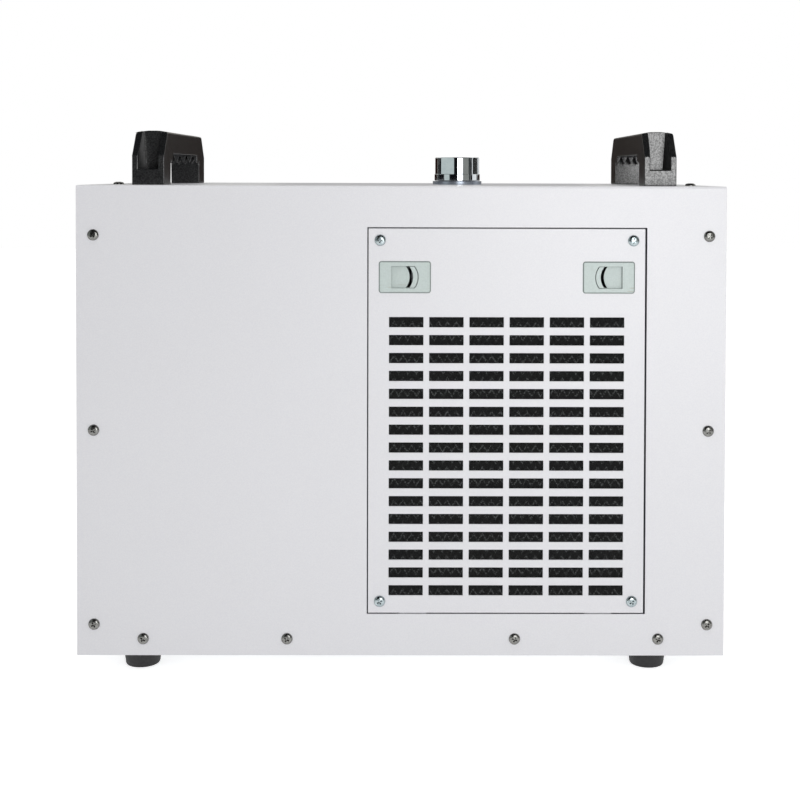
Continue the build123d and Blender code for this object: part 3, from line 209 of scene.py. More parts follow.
# %% [markdown]
# ## Shared effects
# Real finishes share a few habits: powder coat has a fine orange peel, moulded plastic a grain, and every
# handled surface some dust and faint scratches. Each habit is built once as a node group that gives only a
# mask or a height, and each material sets its own amounts. All read Object coordinates, so a pattern stays
# put when a piece moves or is exported.

# %% Node groups for peel, grain, dust and scratches
def new_group(name, inputs, outputs):
    """An empty shader node group with float inputs and named outputs."""
    group = bpy.data.node_groups.new(name, "ShaderNodeTree")
    for label, value in inputs:
        socket = group.interface.new_socket(label, in_out="INPUT", socket_type="NodeSocketFloat")
        socket.default_value = value
    for label in outputs:
        group.interface.new_socket(label, in_out="OUTPUT", socket_type="NodeSocketFloat")
    return group, group.nodes.new("NodeGroupInput"), group.nodes.new("NodeGroupOutput")


def coordinates(group):
    """The Object coordinates inside a group."""
    return group.nodes.new("ShaderNodeTexCoord").outputs["Object"]


def noise(group, scale, detail, place=None):
    """A noise texture on the object's own coordinates; scale is a number or a socket."""
    node = group.nodes.new("ShaderNodeTexNoise")
    node.inputs["Detail"].default_value = detail
    group.links.new(place or coordinates(group), node.inputs["Vector"])
    if isinstance(scale, (int, float)):
        node.inputs["Scale"].default_value = scale
    else:
        group.links.new(scale, node.inputs["Scale"])
    return node.outputs["Fac"]


def ramp(group, value, low, high, out_low=0.0, out_high=1.0):
    """A value stretched between two limits and clamped."""
    node = group.nodes.new("ShaderNodeMapRange")
    for label, number in (("From Min", low), ("From Max", high), ("To Min", out_low), ("To Max", out_high)):
        node.inputs[label].default_value = number
    group.links.new(value, node.inputs["Value"])
    return node.outputs["Result"]


def math(group, operation, a, b=0.0):
    """One Math node; each side is a number or a socket."""
    node = group.nodes.new("ShaderNodeMath")
    node.operation = operation
    for socket, value in zip(node.inputs, (a, b)):
        if isinstance(value, (int, float)):
            socket.default_value = value
        else:
            group.links.new(value, socket)
    return node.outputs[0]


def make_grain_group():
    """Fine bumps: a cell texture softened by noise, for peel and moulded grain."""
    group, inlet, outlet = new_group("grain", [("Scale", 900.0)], ["Height", "Mask"])
    fine = noise(group, inlet.outputs["Scale"], 2.0)
    cells = group.nodes.new("ShaderNodeTexVoronoi")
    cells.feature = "SMOOTH_F1"
    group.links.new(coordinates(group), cells.inputs["Vector"])
    group.links.new(inlet.outputs["Scale"], cells.inputs["Scale"])
    height = math(group, "ADD", math(group, "MULTIPLY", fine, 0.5), cells.outputs["Distance"])
    group.links.new(height, outlet.inputs["Height"])
    group.links.new(ramp(group, fine, 0.35, 0.65), outlet.inputs["Mask"])
    return group


def make_dust_group():
    """Soft dust patches: broad noise broken up by a finer one."""
    group, inlet, outlet = new_group("dust", [("Amount", 0.3)], ["Mask"])
    broad = ramp(group, noise(group, 9.0, 3.0), 0.45, 0.8)
    fine = ramp(group, noise(group, 240.0, 4.0), 0.35, 0.75)
    patches = math(group, "MULTIPLY", broad, fine)
    group.links.new(math(group, "MULTIPLY", patches, inlet.outputs["Amount"]), outlet.inputs["Mask"])
    return group


def make_scratch_group():
    """Short thin scratches: noise stretched along a slanted line, thresholded where a mask allows it."""
    group, inlet, outlet = new_group("scratches", [("Amount", 0.5)], ["Mask"])
    turn = group.nodes.new("ShaderNodeMapping")
    turn.inputs["Rotation"].default_value = (0.3, 0.7, 0.5)
    turn.inputs["Scale"].default_value = (1.0, 1.0, 14.0)
    group.links.new(coordinates(group), turn.inputs["Vector"])
    lines = ramp(group, noise(group, 70.0, 2.0, turn.outputs["Vector"]), 0.62, 0.7)
    allowed = ramp(group, noise(group, 35.0, 2.0), 0.5, 0.65)
    mask = math(group, "MULTIPLY", math(group, "MULTIPLY", lines, allowed), inlet.outputs["Amount"])
    group.links.new(mask, outlet.inputs["Mask"])
    return group


groups = {"grain": make_grain_group(), "dust": make_dust_group(), "scratches": make_scratch_group()}
print("node groups:", ", ".join(groups))

# %% [markdown]
# ## Finishes
# A finish is a Principled shader whose plain numbers sit on its own sockets, with the shared effects feeding
# only colour, roughness and bump. One maker writes them all from a short table of amounts, and the few
# finishes that need more, such as the knit and the display, are added to one by one after it.

# %% The maker of finishes
bump_depth = 0.0002


def linear(*rgb):
    """A screen colour of 0 to 255 as the linear colour that a shader takes."""
    values = [channel / 255 for channel in rgb]
    return tuple(v / 12.92 if v <= 0.04045 else ((v + 0.055) / 1.055) ** 2.4 for v in values) + (1.0,)


def put_group(tree, name, **values):
    """A node group placed in a material, with its inputs set."""
    node = tree.nodes.new("ShaderNodeGroup")
    node.node_tree = groups[name]
    for label, value in values.items():
        node.inputs[label].default_value = value
    return node


def mix_colour(tree, mask, below, above):
    """Two colours mixed by a mask; each is a socket or a colour."""
    node = tree.nodes.new("ShaderNodeMix")
    node.data_type = "RGBA"
    tree.links.new(mask, node.inputs["Factor"])
    for socket, value in ((node.inputs[6], below), (node.inputs[7], above)):
        if isinstance(value, tuple):
            socket.default_value = value
        else:
            tree.links.new(value, socket)
    return node.outputs[2]


def finish(name, colour, tint, roughness, metallic=0.0, grain=900.0, bump=0.05, dust=0.2,
           dust_colour=(196, 190, 178), scratches=0.2, scratch_colour=(214, 212, 206), coat=0.0,
           specular=0.5):
    """A finish with a two-tone grain, dust, scratches and a fine bump."""
    material = bpy.data.materials.new(name)
    material.use_nodes = True
    tree = material.node_tree
    shader = tree.nodes["Principled BSDF"]
    shader.inputs["Metallic"].default_value = metallic
    shader.inputs["Coat Weight"].default_value = coat
    shader.inputs["Specular IOR Level"].default_value = specular
    skin = put_group(tree, "grain", Scale=grain)
    shade = mix_colour(tree, skin.outputs["Mask"], linear(*colour), linear(*tint))
    worn = put_group(tree, "scratches", Amount=scratches)
    shade = mix_colour(tree, worn.outputs["Mask"], shade, linear(*scratch_colour))
    dusty = put_group(tree, "dust", Amount=dust)
    shade = mix_colour(tree, dusty.outputs["Mask"], shade, linear(*dust_colour))
    tree.links.new(shade, shader.inputs["Base Color"])
    dull = ramp(tree, dusty.outputs["Mask"], 0.0, 1.0, roughness, min(1.0, roughness + 0.3))
    tree.links.new(dull, shader.inputs["Roughness"])
    dent = tree.nodes.new("ShaderNodeBump")
    dent.inputs["Strength"].default_value = bump
    dent.inputs["Distance"].default_value = bump_depth
    tree.links.new(skin.outputs["Height"], dent.inputs["Height"])
    tree.links.new(dent.outputs["Normal"], shader.inputs["Normal"])
    return material


# %% The table of finishes
finishes = {
    "casing_paint": finish("casing_paint", (226, 226, 230), (230, 230, 233), 0.34, grain=1100, bump=0.10,
                           dust=0.05, scratches=0.02, scratch_colour=(196, 196, 198)),
    "zinc_sheet": finish("zinc_sheet", (168, 172, 176), (196, 199, 202), 0.38, 1.0, grain=160, bump=0.05),
    "screw_steel": finish("screw_steel", (112, 112, 110), (134, 134, 131), 0.24, 1.0, grain=700, dust=0.15),
    "door_screw_zinc": finish("door_screw_zinc", (148, 160, 164), (176, 186, 188), 0.24, 1.0, grain=700,
                              dust=0.1),
    "foot_rubber": finish("foot_rubber", (28, 28, 29), (38, 38, 39), 0.62, grain=500, bump=0.3, dust=0.3,
                          dust_colour=(90, 88, 84)),
    "cap_chrome": finish("cap_chrome", (208, 214, 218), (216, 221, 224), 0.07, 1.0, grain=300, bump=0.02,
                         dust=0.08, scratches=0.12, scratch_colour=(160, 160, 158)),
    "neck_plastic": finish("neck_plastic", (150, 158, 170), (160, 168, 179), 0.3, 0.85, grain=300),
    # A dark grey painted on the window frame as painted shade for the gap round the filter door.
    "gap_painted_shade": finish("gap_painted_shade", (84, 88, 98), (92, 96, 106), 0.5, grain=700, dust=0.1),
    "seal_rubber": finish("seal_rubber", (30, 30, 31), (40, 40, 41), 0.6, grain=500, bump=0.2),
    "tank_plastic": finish("tank_plastic", (214, 216, 212), (224, 226, 222), 0.45, grain=300, bump=0.1),
    "condenser_aluminium": finish("condenser_aluminium", (160, 163, 166), (186, 189, 192), 0.35, 1.0,
                                  grain=260, bump=0.2, dust=0.4),
    "fan_plastic": finish("fan_plastic", (32, 33, 35), (42, 43, 45), 0.45, grain=500, bump=0.15, dust=0.35),
    "motor_black": finish("motor_black", (30, 31, 33), (38, 39, 41), 0.4, grain=500, bump=0.1, coat=0.2),
    "evaporator_steel": finish("evaporator_steel", (150, 150, 148), (178, 178, 175), 0.3, 1.0, grain=240),
    "copper": finish("copper", (184, 104, 70), (200, 122, 86), 0.28, 1.0, grain=240, dust=0.3,
                     dust_colour=(120, 84, 62)),
    "hose_rubber": finish("hose_rubber", (36, 38, 42), (46, 48, 52), 0.5, grain=500, bump=0.2),
    "panel_plastic": finish("panel_plastic", (52, 56, 62), (60, 64, 70), 0.45, grain=700, bump=0.2,
                            dust=0.08, scratches=0.03),
    "key_plastic": finish("key_plastic", (196, 200, 204), (206, 210, 214), 0.4, grain=600, bump=0.1),
    "port_brass": finish("port_brass", (188, 160, 104), (204, 178, 122), 0.26, 1.0, grain=300, dust=0.15),
    "drain_plastic": finish("drain_plastic", (28, 29, 31), (36, 37, 39), 0.4, grain=600, bump=0.2),
    "pin_metal": finish("pin_metal", (196, 196, 190), (210, 210, 204), 0.22, 1.0, grain=300),
    "switch_plastic": finish("switch_plastic", (24, 24, 26), (32, 32, 34), 0.35, grain=700, bump=0.1),
    "mark_white": finish("mark_white", (214, 214, 210), (224, 224, 220), 0.5, grain=500, dust=0.1),
}
print(len(finishes), "finishes from the table")

# %% [markdown]
# ## The knit, the panes and the lit digits
# The filter is a black warp knit whose yarns cross as small chevrons, just bright enough to catch the light
# in the slots. Modelling every yarn would cost a million faces, so the chevrons are folded out of the X and Z
# coordinates and raise both the colour and the bump. The panes are clear plastic, and the digits glow.

# %% Finishes that are written one by one
chevron_width, row_height = 0.0076, 0.0096


def wave(tree, value, period):
    """A triangle wave from 0 to half the period."""
    node = tree.nodes.new("ShaderNodeMath")
    node.operation = "PINGPONG"
    tree.links.new(value, node.inputs[0])
    node.inputs[1].default_value = period / 2
    return node.outputs[0]


def knit_finish():
    """Black knit with grey chevrons in rows."""
    material = finish("filter_knit", (8, 8, 9), (32, 33, 33), 0.85, grain=1500, bump=0.0, dust=0.2,
                      dust_colour=(44, 40, 36), scratches=0.0, specular=0.15)
    tree = material.node_tree
    shader = tree.nodes["Principled BSDF"]
    split = tree.nodes.new("ShaderNodeSeparateXYZ")
    tree.links.new(coordinates(tree), split.inputs[0])
    zigzag = math(tree, "MULTIPLY", wave(tree, split.outputs["X"], chevron_width), 1.5)
    rows = wave(tree, math(tree, "ADD", split.outputs["Z"], zigzag), row_height)
    yarn = ramp(tree, rows, 0.0019, 0.0003)
    broken = math(tree, "MULTIPLY", yarn, ramp(tree, noise(tree, 900.0, 3.0), 0.46, 0.60))
    below = shader.inputs["Base Color"].links[0].from_socket
    shade = mix_colour(tree, broken, below, linear(78, 80, 80))
    tree.links.new(shade, shader.inputs["Base Color"])
    loops = math(tree, "ADD", math(tree, "MULTIPLY", yarn, 0.6), noise(tree, 900.0, 2.0))
    dent = shader.inputs["Normal"].links[0].from_node
    dent.inputs["Strength"].default_value = 0.8
    dent.inputs["Distance"].default_value = 0.0006
    tree.links.new(loops, dent.inputs["Height"])
    return material


def handle_finish():
    """Black grained plastic whose grain shows as specks in what it mirrors."""
    material = finish("handle_plastic", (19, 20, 21), (28, 29, 30), 0.28, grain=700, bump=0.12, dust=0.08,
                      dust_colour=(96, 96, 92), scratches=0.15, scratch_colour=(110, 110, 108))
    tree = material.node_tree
    shader = tree.nodes["Principled BSDF"]
    shader.inputs["IOR"].default_value = 1.65
    speck = ramp(tree, noise(tree, 800.0, 2.0), 0.38, 0.62, 0.45, 1.0)
    tree.links.new(speck, shader.inputs["Specular IOR Level"])
    return material


def latch_finish():
    """Pale plastic with tan scuffs, and painted shade where a surface turns away from the face."""
    material = finish("latch_plastic", (190, 202, 199), (196, 208, 205), 0.4, grain=700, bump=0.08,
                      dust=0.12, dust_colour=(184, 176, 150), scratches=0.7,
                      scratch_colour=(150, 134, 104))
    tree = material.node_tree
    shader = tree.nodes["Principled BSDF"]
    split = tree.nodes.new("ShaderNodeSeparateXYZ")
    tree.links.new(tree.nodes.new("ShaderNodeTexCoord").outputs["Normal"], split.inputs[0])
    # Faces that turn away from the front are painted darker. This is painted shade for the plate's dark
    # outline and its shadowed window edges.
    painted_shade_turned_away = ramp(tree, math(tree, "ABSOLUTE", split.outputs["Y"]), 0.97, 0.75)
    below = shader.inputs["Base Color"].links[0].from_socket
    shade = mix_colour(tree, painted_shade_turned_away, below, linear(120, 130, 126))
    tree.links.new(shade, shader.inputs["Base Color"])
    return material


def pane_finish(name, colour, clear, roughness):
    """A clear or smoked plastic pane."""
    material = finish(name, colour, colour, roughness, grain=300, bump=0.01, dust=0.05, scratches=0.05)
    material.node_tree.nodes["Principled BSDF"].inputs["Transmission Weight"].default_value = clear
    return material


def glow_finish(name, colour, strength):
    """A lit digit."""
    material = finish(name, colour, colour, 0.5, grain=600, bump=0.0, dust=0.0, scratches=0.0)
    shader = material.node_tree.nodes["Principled BSDF"]
    shader.inputs["Emission Color"].default_value = linear(*colour)
    shader.inputs["Emission Strength"].default_value = strength
    return material


finishes["filter_knit"] = knit_finish()
finishes["handle_plastic"] = handle_finish()
finishes["latch_plastic"] = latch_finish()
finishes["display_pane"] = pane_finish("display_pane", (16, 18, 20), 0.0, 0.12)
finishes["gauge_lens"] = pane_finish("gauge_lens", (206, 226, 214), 0.75, 0.18)
finishes["digit_glow"] = glow_finish("digit_glow", (235, 70, 40), 1.2)
print(len(finishes), "finishes in all")

# %% [markdown]
# ## Every CAD piece gets its finish
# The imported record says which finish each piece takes, so the table of pieces isn't repeated here. A CAD
# piece is painted in its own material slots, and its mesh is left as it is.

# %% Paint the CAD pieces
def paint(piece, name):
    """A finish in all the material slots of a piece."""
    if not piece.material_slots:
        piece.data.materials.append(finishes[name])
    for place in piece.material_slots:
        place.material = finishes[name]


finish_of = {entry["node"]: entry["material_slot"] for entry in frame["record"]["subparts"]}
for name, piece in nodes.items():
    paint(piece, finish_of[name])
# The window frame takes a dark grey as painted shade, so the gap round the filter door reads dark.
paint(nodes["window_frame"], "gap_painted_shade")
print("painted", len(finish_of), "pieces")

# %% [markdown]
# ## Soft edges
# A folded sheet, a moulding and a turned cap never end in a perfectly sharp edge: each has a small radius
# that draws a thin bright line. The edge could be rounded in CAD, at the price of many faces. Here a copy of
# the mesh has its loose triangles joined and a Bevel modifier rounds what is sharper than a set angle, so the
# shape stays the CAD's own and only the edge changes.

# %% Copies with soft edges
millimetre = 0.001
rounded_above = 32.0


def link(name, shape, body, finish_name, smooth=35.0):
    """A finished mesh as a piece on a body, smooth up to an angle, or as its edges are marked."""
    data = bpy.data.meshes.new(name)
    shape.to_mesh(data)
    shape.free()
    for face in data.polygons:
        face.use_smooth = True
    if smooth:
        data.set_sharp_from_angle(angle=radians(smooth))
    piece = bpy.data.objects.new(name, data)
    bpy.context.scene.collection.objects.link(piece)
    paint(piece, finish_name)
    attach(piece, body)
    return piece


def merged(node):
    """The mesh of a CAD piece with its loose triangles joined into its flat faces."""
    shape = bmesh.new()
    shape.from_mesh(nodes[node].data)
    bmesh.ops.remove_doubles(shape, verts=shape.verts, dist=1e-6)
    bmesh.ops.dissolve_limit(shape, angle_limit=radians(0.3), verts=shape.verts, edges=shape.edges)
    return shape


def soften(node, width, crease=rounded_above):
    """A copy of a CAD piece whose edges get a small radius, in millimetres.

    Edges between the crease angle and the rounded ones stay sharp. Normals lean towards the larger
    face, so that a wide flat face shades evenly right up to its rounded edge.
    """
    shape = merged(node)
    for edge in shape.edges:
        angle = edge.calc_face_angle(0.0)
        edge.smooth = angle <= radians(crease) or angle > radians(rounded_above)
    piece = link(node + "_finished", shape, body_of[node], finish_of[node], None)
    bevel = piece.modifiers.new("soft_edges", "BEVEL")
    bevel.width = width * millimetre
    bevel.segments = 2
    bevel.limit_method = "ANGLE"
    bevel.angle_limit = radians(rounded_above)
    bevel.use_clamp_overlap = False
    bevel.miter_outer = "MITER_SHARP"
    normals = piece.modifiers.new("even_shading", "WEIGHTED_NORMAL")
    normals.keep_sharp = True
    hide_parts(node)
    return piece


body_of = {node: body for body, members in frame["record"]["behaviour"]["bodies"].items() for node in members}
radii = {
    "wrap_cover": 0.3, "front_panel": 0.25, "rear_panel": 0.25, "filter_door": 0.3, "base_tray": 0.3,
    "latch_body_left": 0.14, "latch_body_right": 0.14, "latch_slider_left": 0.14,
    "latch_slider_right": 0.14, "handle_front": 0.7, "handle_rear": 0.7, "filler_neck": 0.25,
    "panel_bezel": 0.3, "key_set": 0.2, "key_up": 0.2, "key_down": 0.2,
    "key_reset": 0.2, "return_port": 0.3, "supply_port": 0.3, "drain_port": 0.2, "drain_cap": 0.2,
    "level_gauge": 0.4, "mains_inlet": 0.3, "switch_frame": 0.3, "power_rocker": 0.4,
    "water_tank": 1.2, "evaporator": 1.5, "pump": 1.0,
}
for node, width in radii.items():
    soften(node, width)
# The cap's flats meet its round at a small angle and stay crisp there.
soften("filler_cap", 0.2, crease=8.0)
print("softened", len(radii) + 1, "pieces")

# %% [markdown]
# ## Screws with a cross recess
# The casing screws are pan heads with a cross recess, a spot of dark in a bright dome. The head is a profile
# turned by a full spin, and a tapered cross is cut from it with a Boolean modifier, which is how the punch
# forms the real one. One head is made for each size and copied to every place that the CAD screws have.

# %% One pan head
def islands(shape):
    """The separate solids in a mesh, each as its lowest and highest corner."""
    boxes, seen = [], set()
    for vertex in shape.verts:
        if vertex in seen:
            continue
        stack, found = [vertex], []
        seen.add(vertex)
        while stack:
            here = stack.pop()
            found.append(here.co)
            for edge in here.link_edges:
                other = edge.other_vert(here)
                if other not in seen:
                    seen.add(other)
                    stack.append(other)
        low = Vector([min(point[i] for point in found) for i in range(3)])
        high = Vector([max(point[i] for point in found) for i in range(3)])
        boxes.append((low, high))
    return boxes


def turned_shape(profile, steps):
    """A profile of (radius, height) points turned all the way round."""
    shape = bmesh.new()
    points = [shape.verts.new((radius, 0.0, height)) for radius, height in profile]
    edges = [shape.edges.new(pair) for pair in zip(points, points[1:])]
    bmesh.ops.spin(shape, geom=points + edges, cent=(0, 0, 0), axis=(0, 0, 1), angle=2 * pi, steps=steps,
                   use_merge=True, use_duplicate=False)
    bmesh.ops.remove_doubles(shape, verts=shape.verts, dist=1e-7)
    bmesh.ops.recalc_face_normals(shape, faces=shape.faces)
    return shape


def cross_cutter(radius, rise):
    """A tapered cross, standing through the top of a head."""
    reach_low, reach_high = 0.62, 1.1
    width_low, width_high = 0.15, 0.30
    shape = bmesh.new()
    for turn in (0.0, 90.0):
        arm = bmesh.ops.create_cube(shape, size=1.0)["verts"]
        for vertex in arm:
            low = vertex.co.z < 0
            vertex.co.x *= radius * (reach_low if low else reach_high)
            vertex.co.y *= radius * (width_low if low else width_high)
            vertex.co.z = rise * 0.2 if low else rise * 1.3
        bmesh.ops.rotate(shape, verts=arm, cent=(0, 0, 0), matrix=Matrix.Rotation(radians(turn), 3, "Z"))
    return shape


def plain_object(name, shape):
    """A helper object for a modifier."""
    data = bpy.data.meshes.new(name)
    shape.to_mesh(data)
    shape.free()
    helper = bpy.data.objects.new(name, data)
    bpy.context.scene.collection.objects.link(helper)
    return helper


def pan_head(radius, rise, shank, length):
    """The mesh of one screw, with its head up from the origin."""
    profile = [(0.0, rise), (radius * 0.3, rise * 0.985), (radius * 0.58, rise * 0.92),
               (radius * 0.8, rise * 0.75), (radius * 0.94, rise * 0.5), (radius, rise * 0.2),
               (radius, 0.0), (shank, 0.0), (shank, -length), (0.0, -length)]
    head = plain_object("head", turned_shape(profile, 28))
    cutter = plain_object("cross", cross_cutter(radius, rise))
    cut = head.modifiers.new("recess", "BOOLEAN")
    cut.operation = "DIFFERENCE"
    cut.solver = "EXACT"
    cut.use_self = True
    cut.object = cutter
    ready = head.evaluated_get(bpy.context.evaluated_depsgraph_get())
    mesh = bpy.data.meshes.new_from_object(ready)
    for helper in (head, cutter):
        bpy.data.objects.remove(helper)
    return mesh


# %% Heads in every screw's place
def screw_group(node, facing, rise, shank):
    """All the screws of one CAD group; facing gives a head's outward direction from its box."""
    shape = merged(node)
    boxes = islands(shape)
    shape.free()
    low, high = boxes[0]
    out = facing(low, high)
    along = max(range(3), key=lambda i: abs(out[i]))
    across = [high[i] - low[i] for i in range(3) if i != along]
    head = pan_head(max(across) / 2, rise, shank, high[along] - low[along] - rise)
    group = bmesh.new()
    for count, (low, high) in enumerate(boxes):
        out = facing(low, high)
        place = (low + high) / 2
        crown = high[along] if out[along] > 0 else low[along]
        place[along] = crown - out[along] * rise
        turn = Matrix.Rotation(radians(31 + 47 * count), 4, "Z")
        seat = Matrix.Translation(place) @ out.to_track_quat("Z", "Y").to_matrix().to_4x4() @ turn
        start = len(group.verts)
        group.from_mesh(head)
        group.verts.ensure_lookup_table()
        bmesh.ops.transform(group, matrix=seat, verts=group.verts[start:])
    piece = link(node + "_finished", group, body_of[node], finish_of[node], 40.0)
    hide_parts(node)
    print(node, len(boxes), "screws,", len(piece.data.polygons), "faces")


def outward(low, high):
    """Away from the casing's middle plane."""
    return Vector((0, 1, 0)) if low.y + high.y > 0 else Vector((0, -1, 0))


small_rise, small_shank = 0.0024, 0.0020
handle_rise, handle_shank = 0.0030, 0.0025
screw_group("side_screws", outward, small_rise, small_shank)
screw_group("filter_screws", lambda low, high: Vector((0, -1, 0)), small_rise, small_shank)
screw_group("top_screws", lambda low, high: Vector((0, 0, 1)), small_rise, small_shank)
screw_group("handle_screws", lambda low, high: Vector((0, 0, 1)), handle_rise, handle_shank)
screw_group("foot_screws", lambda low, high: Vector((0, 0, -1)), small_rise, small_shank)

# %% [markdown]
# ## Rubber feet
# Each foot is a moulded cup, round and slightly tapered, with a soft lower edge and a recess for its screw.
# The CAD foot has flat sides to save faces, so a turned profile takes its place, with the same radii.

# %% Turned feet
def make_foot(node):
    """A round foot where the CAD foot is."""
    low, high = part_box(node)
    top_r = (high[0] - low[0]) / 2
    height = high[2] - low[2]
    base_r = top_r - 0.0025
    profile = [(0.0023, 0.0090), (0.0070, 0.0090), (0.0071, 0.0012), (0.0076, 0.0004), (0.0084, 0.0),
               (base_r - 0.0016, 0.0), (base_r - 0.0005, 0.0004), (base_r, 0.0014),
               (top_r - 0.0003, height - 0.0012), (top_r, height - 0.0008), (top_r, height),
               (0.0023, height), (0.0023, 0.0090)]
    shape = turned_shape(profile, 56)
    middle = ((low[0] + high[0]) / 2, (low[1] + high[1]) / 2, low[2])
    bmesh.ops.translate(shape, verts=shape.verts, vec=middle)
    piece = link(node + "_finished", shape, body_of[node], "foot_rubber")
    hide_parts(node)


for end in ("front", "rear"):
    for side in ("near", "far"):
        make_foot(f"foot_{end}_{side}")
print("four feet")

# %% [markdown]
# ## Threads
# The caps run on single-start threads, which show when a cap is drawn off. A thread is a small ridge that
# turns and rises at once, so a spin with a step of travel along the axis makes it in one call. The solid
# spigot stays from the CAD, and the ridge sits on it with its ends sunk a little.

# %% Ridges on the filler neck and the drain spigot
def add_thread(name, body, radius, height, lead, turns, start, along, finish_name):
    """A helical ridge on a spigot; along is the axis and start its first point."""
    steps_a_turn = 36
    shape = bmesh.new()
    half = lead * 0.22
    ring = [shape.verts.new((radius + out, 0.0, rise)) for out, rise in
            ((-0.0003, -half * 1.6), (height, -half * 0.5), (height, half * 0.5), (-0.0003, half * 1.6))]
    profile = shape.faces.new(ring)
    bmesh.ops.spin(shape, geom=[profile] + list(profile.edges) + ring, cent=(0, 0, 0), axis=(0, 0, 1),
                   dvec=(0, 0, lead / steps_a_turn), angle=2 * pi * turns, steps=int(steps_a_turn * turns),
                   use_merge=False, use_duplicate=False)
    bmesh.ops.recalc_face_normals(shape, faces=shape.faces)
    seat = Matrix.Translation(start) @ Vector(along).to_track_quat("Z", "Y").to_matrix().to_4x4()
    bmesh.ops.transform(shape, matrix=seat, verts=shape.verts)
    piece = link(name, shape, body, finish_name)
    tall = max(corner[2] for corner in piece.bound_box) - min(corner[2] for corner in piece.bound_box)
    print(name, round(tall * 1000, 1), "mm high")


low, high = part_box("filler_neck")
neck_x, neck_y = (low[0] + high[0]) / 2, (low[1] + high[1]) / 2
add_thread("neck_thread", "casing", 0.0180, 0.00022, 0.0035, 2.6,
           (neck_x, neck_y, high[2] - 0.0118), (0, 0, 1), "neck_plastic")
low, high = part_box("drain_port")
drain_y, drain_z = (low[1] + high[1]) / 2, (low[2] + high[2]) / 2
add_thread("drain_thread", "casing", 0.0100, 0.00022, 0.0020, 4.5,
           (high[0] - 0.0108, drain_y, drain_z), (1, 0, 0), "drain_plastic")

# %% [markdown]
# ## Marks on the controls
# The panel needs only what its use needs: a lit temperature, an arrow, a ring or a square on each key, a bar
# and a ring on the power switch, and ticks on the level gauge. Each mark is a thin shape printed on the
# surface, made of circles with few or many sides, and the digits are bars of six sides.

# %% Flat marks
above_surface = 0.00002
mark_thickness = 0.00006


def flat_shape(shape, sides, width, height, turn=0.0, hole=0.0):
    """A flat many-sided mark in the XY plane, or a ring of it."""
    made = bmesh.ops.create_circle(shape, segments=sides, radius=0.5, cap_ends=hole == 0.0)["verts"]
    if hole:
        rim = [edge for edge in shape.edges if all(v in made for v in edge.verts)]
        inner = bmesh.ops.extrude_edge_only(shape, edges=rim)["geom"]
        inner = [item for item in inner if isinstance(item, bmesh.types.BMVert)]
        bmesh.ops.scale(shape, verts=inner, vec=(hole, hole, 1.0))
        made = made + inner
    bmesh.ops.rotate(shape, verts=made, cent=(0, 0, 0), matrix=Matrix.Rotation(radians(turn), 3, "Z"))
    bmesh.ops.scale(shape, verts=made, vec=(width, height, 1.0))
    return made


def add_mark(name, body, places, seat, finish_name):
    """Marks in one piece; each place is (sides, width, height, turn, hole, x, y) in millimetres."""
    shape = bmesh.new()
    for sides, width, height, turn, hole, x, y in places:
        made = flat_shape(shape, sides, width * millimetre, height * millimetre, turn, hole)
        bmesh.ops.translate(shape, verts=made, vec=(x * millimetre, y * millimetre, 0.0))
    faces = shape.faces[:]
    raised = bmesh.ops.extrude_face_region(shape, geom=faces)["geom"]
    lift = [item for item in raised if isinstance(item, bmesh.types.BMVert)]
    bmesh.ops.translate(shape, verts=lift, vec=(0, 0, mark_thickness))
    bmesh.ops.recalc_face_normals(shape, faces=shape.faces)
    bmesh.ops.transform(shape, matrix=seat, verts=shape.verts)
    link(name, shape, body, finish_name)


def facing_seat(place, out):
    """A frame on a surface: Z out of it, Y upwards."""
    out = Vector(out).normalized()
    up = Vector((0, 0, 1))
    right = up.cross(out).normalized()
    turn = Matrix((right, out.cross(right), out)).transposed().to_4x4()
    return Matrix.Translation(place) @ turn


def middle_of(node):
    """The middle of a piece's box."""
    low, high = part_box(node)
    return [(low[i] + high[i]) / 2 for i in range(3)]


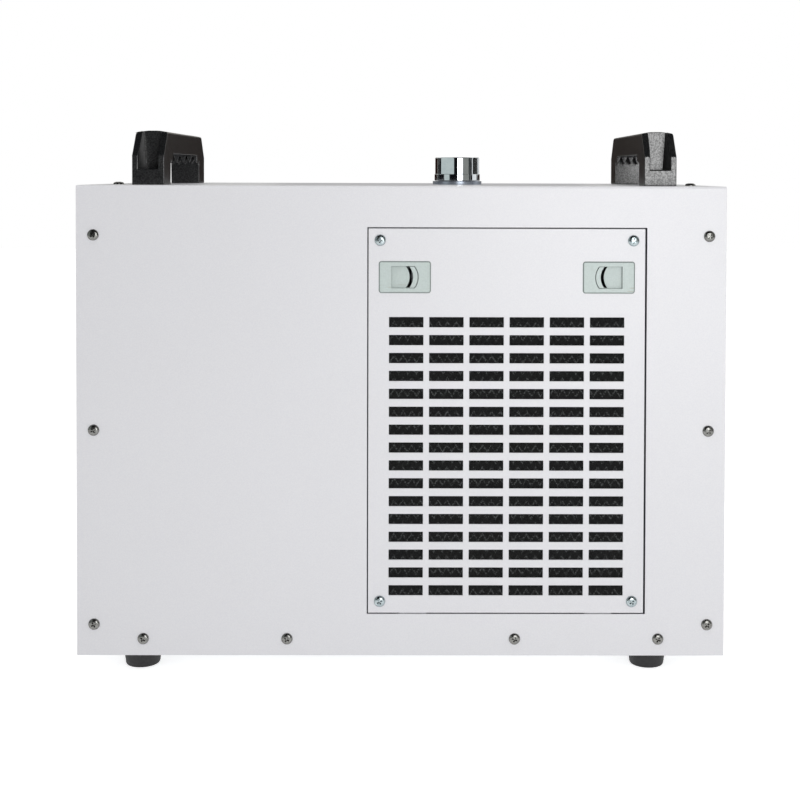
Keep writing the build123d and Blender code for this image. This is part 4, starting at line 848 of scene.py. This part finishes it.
segments = {"0": "abcdef", "2": "abged", "5": "afgcd"}
bars = {"a": (0, 1, 0), "g": (0, 0, 0), "d": (0, -1, 0), "f": (-1, 0.5, 1), "b": (1, 0.5, 1),
        "e": (-1, -0.5, 1), "c": (1, -0.5, 1)}
digit_places = []
for column, digit in enumerate("205"):
    for letter in segments[digit]:
        x, y, upright_bar = bars[letter]
        across = 12.5 * (column - 1)
        size = (1.5, 6.6) if upright_bar else (6.0, 1.5)
        digit_places.append((6, size[0], size[1], 0 if upright_bar else 30, 0.0,
                             across + x * 3.4, y * 7.4))
digit_places.append((12, 1.5, 1.5, 0, 0.0, 6.3, -7.4))
low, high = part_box("display_window")
middle = middle_of("display_window")
add_mark("display_digits", "casing", digit_places,
         facing_seat((low[0] - above_surface, middle[1], middle[2]), (-1, 0, 0)), "digit_glow")

key_marks = {
    "key_set": [(24, 4.2, 4.2, 0, 0.62, 0, 0)],
    "key_up": [(3, 4.6, 4.0, 0, 0.0, 0, -0.3)],
    "key_down": [(3, 4.6, 4.0, 180, 0.0, 0, 0.3)],
    "key_reset": [(4, 4.4, 4.4, 45, 0.0, 0, 0)],
}
for node, places in key_marks.items():
    low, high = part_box(node)
    middle = middle_of(node)
    add_mark(node + "_mark", body_of[node], places,
             facing_seat((low[0] - above_surface, middle[1], middle[2]), (-1, 0, 0)), "switch_plastic")
print("display and key marks")

# %% Switch and gauge marks
crown, half, tilt = 2.5, 11.0, radians(10.0)
low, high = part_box("switch_frame")
axis_x = high[0] - 0.0020
middle = middle_of("switch_frame")
rocker_marks = {"rocker_on_mark": (1, [(4, 1.3, 7.0, 45, 0.0, 0, 0)]),
                "rocker_off_mark": (-1, [(28, 5.6, 5.6, 0, 0.72, 0, 0)])}
for name, (end, places) in rocker_marks.items():
    x, z = (crown + crown / 3) / 2, end * half / 2
    out = Vector((half, 0, -end * (crown - crown / 3)))
    swing = Matrix.Rotation(tilt, 3, "Y")
    spot = swing @ Vector((x * millimetre, 0, z * millimetre))
    out = (swing @ out).normalized()
    place = Vector((axis_x, middle[1], middle[2])) + spot + out * above_surface
    add_mark(name, "rocker", places, facing_seat(place, out), "mark_white")

low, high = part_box("level_gauge")
middle = middle_of("level_gauge")
ticks = [(4, 4.4 if i % 4 == 0 else 2.8, 0.8, 45, 0.0, -8.6, (i - 4) * 10.0) for i in range(9)]
add_mark("gauge_ticks", "casing", ticks,
         facing_seat((high[0] + above_surface, middle[1], middle[2]), (1, 0, 0)), "mark_white")
print("switch and gauge marks")
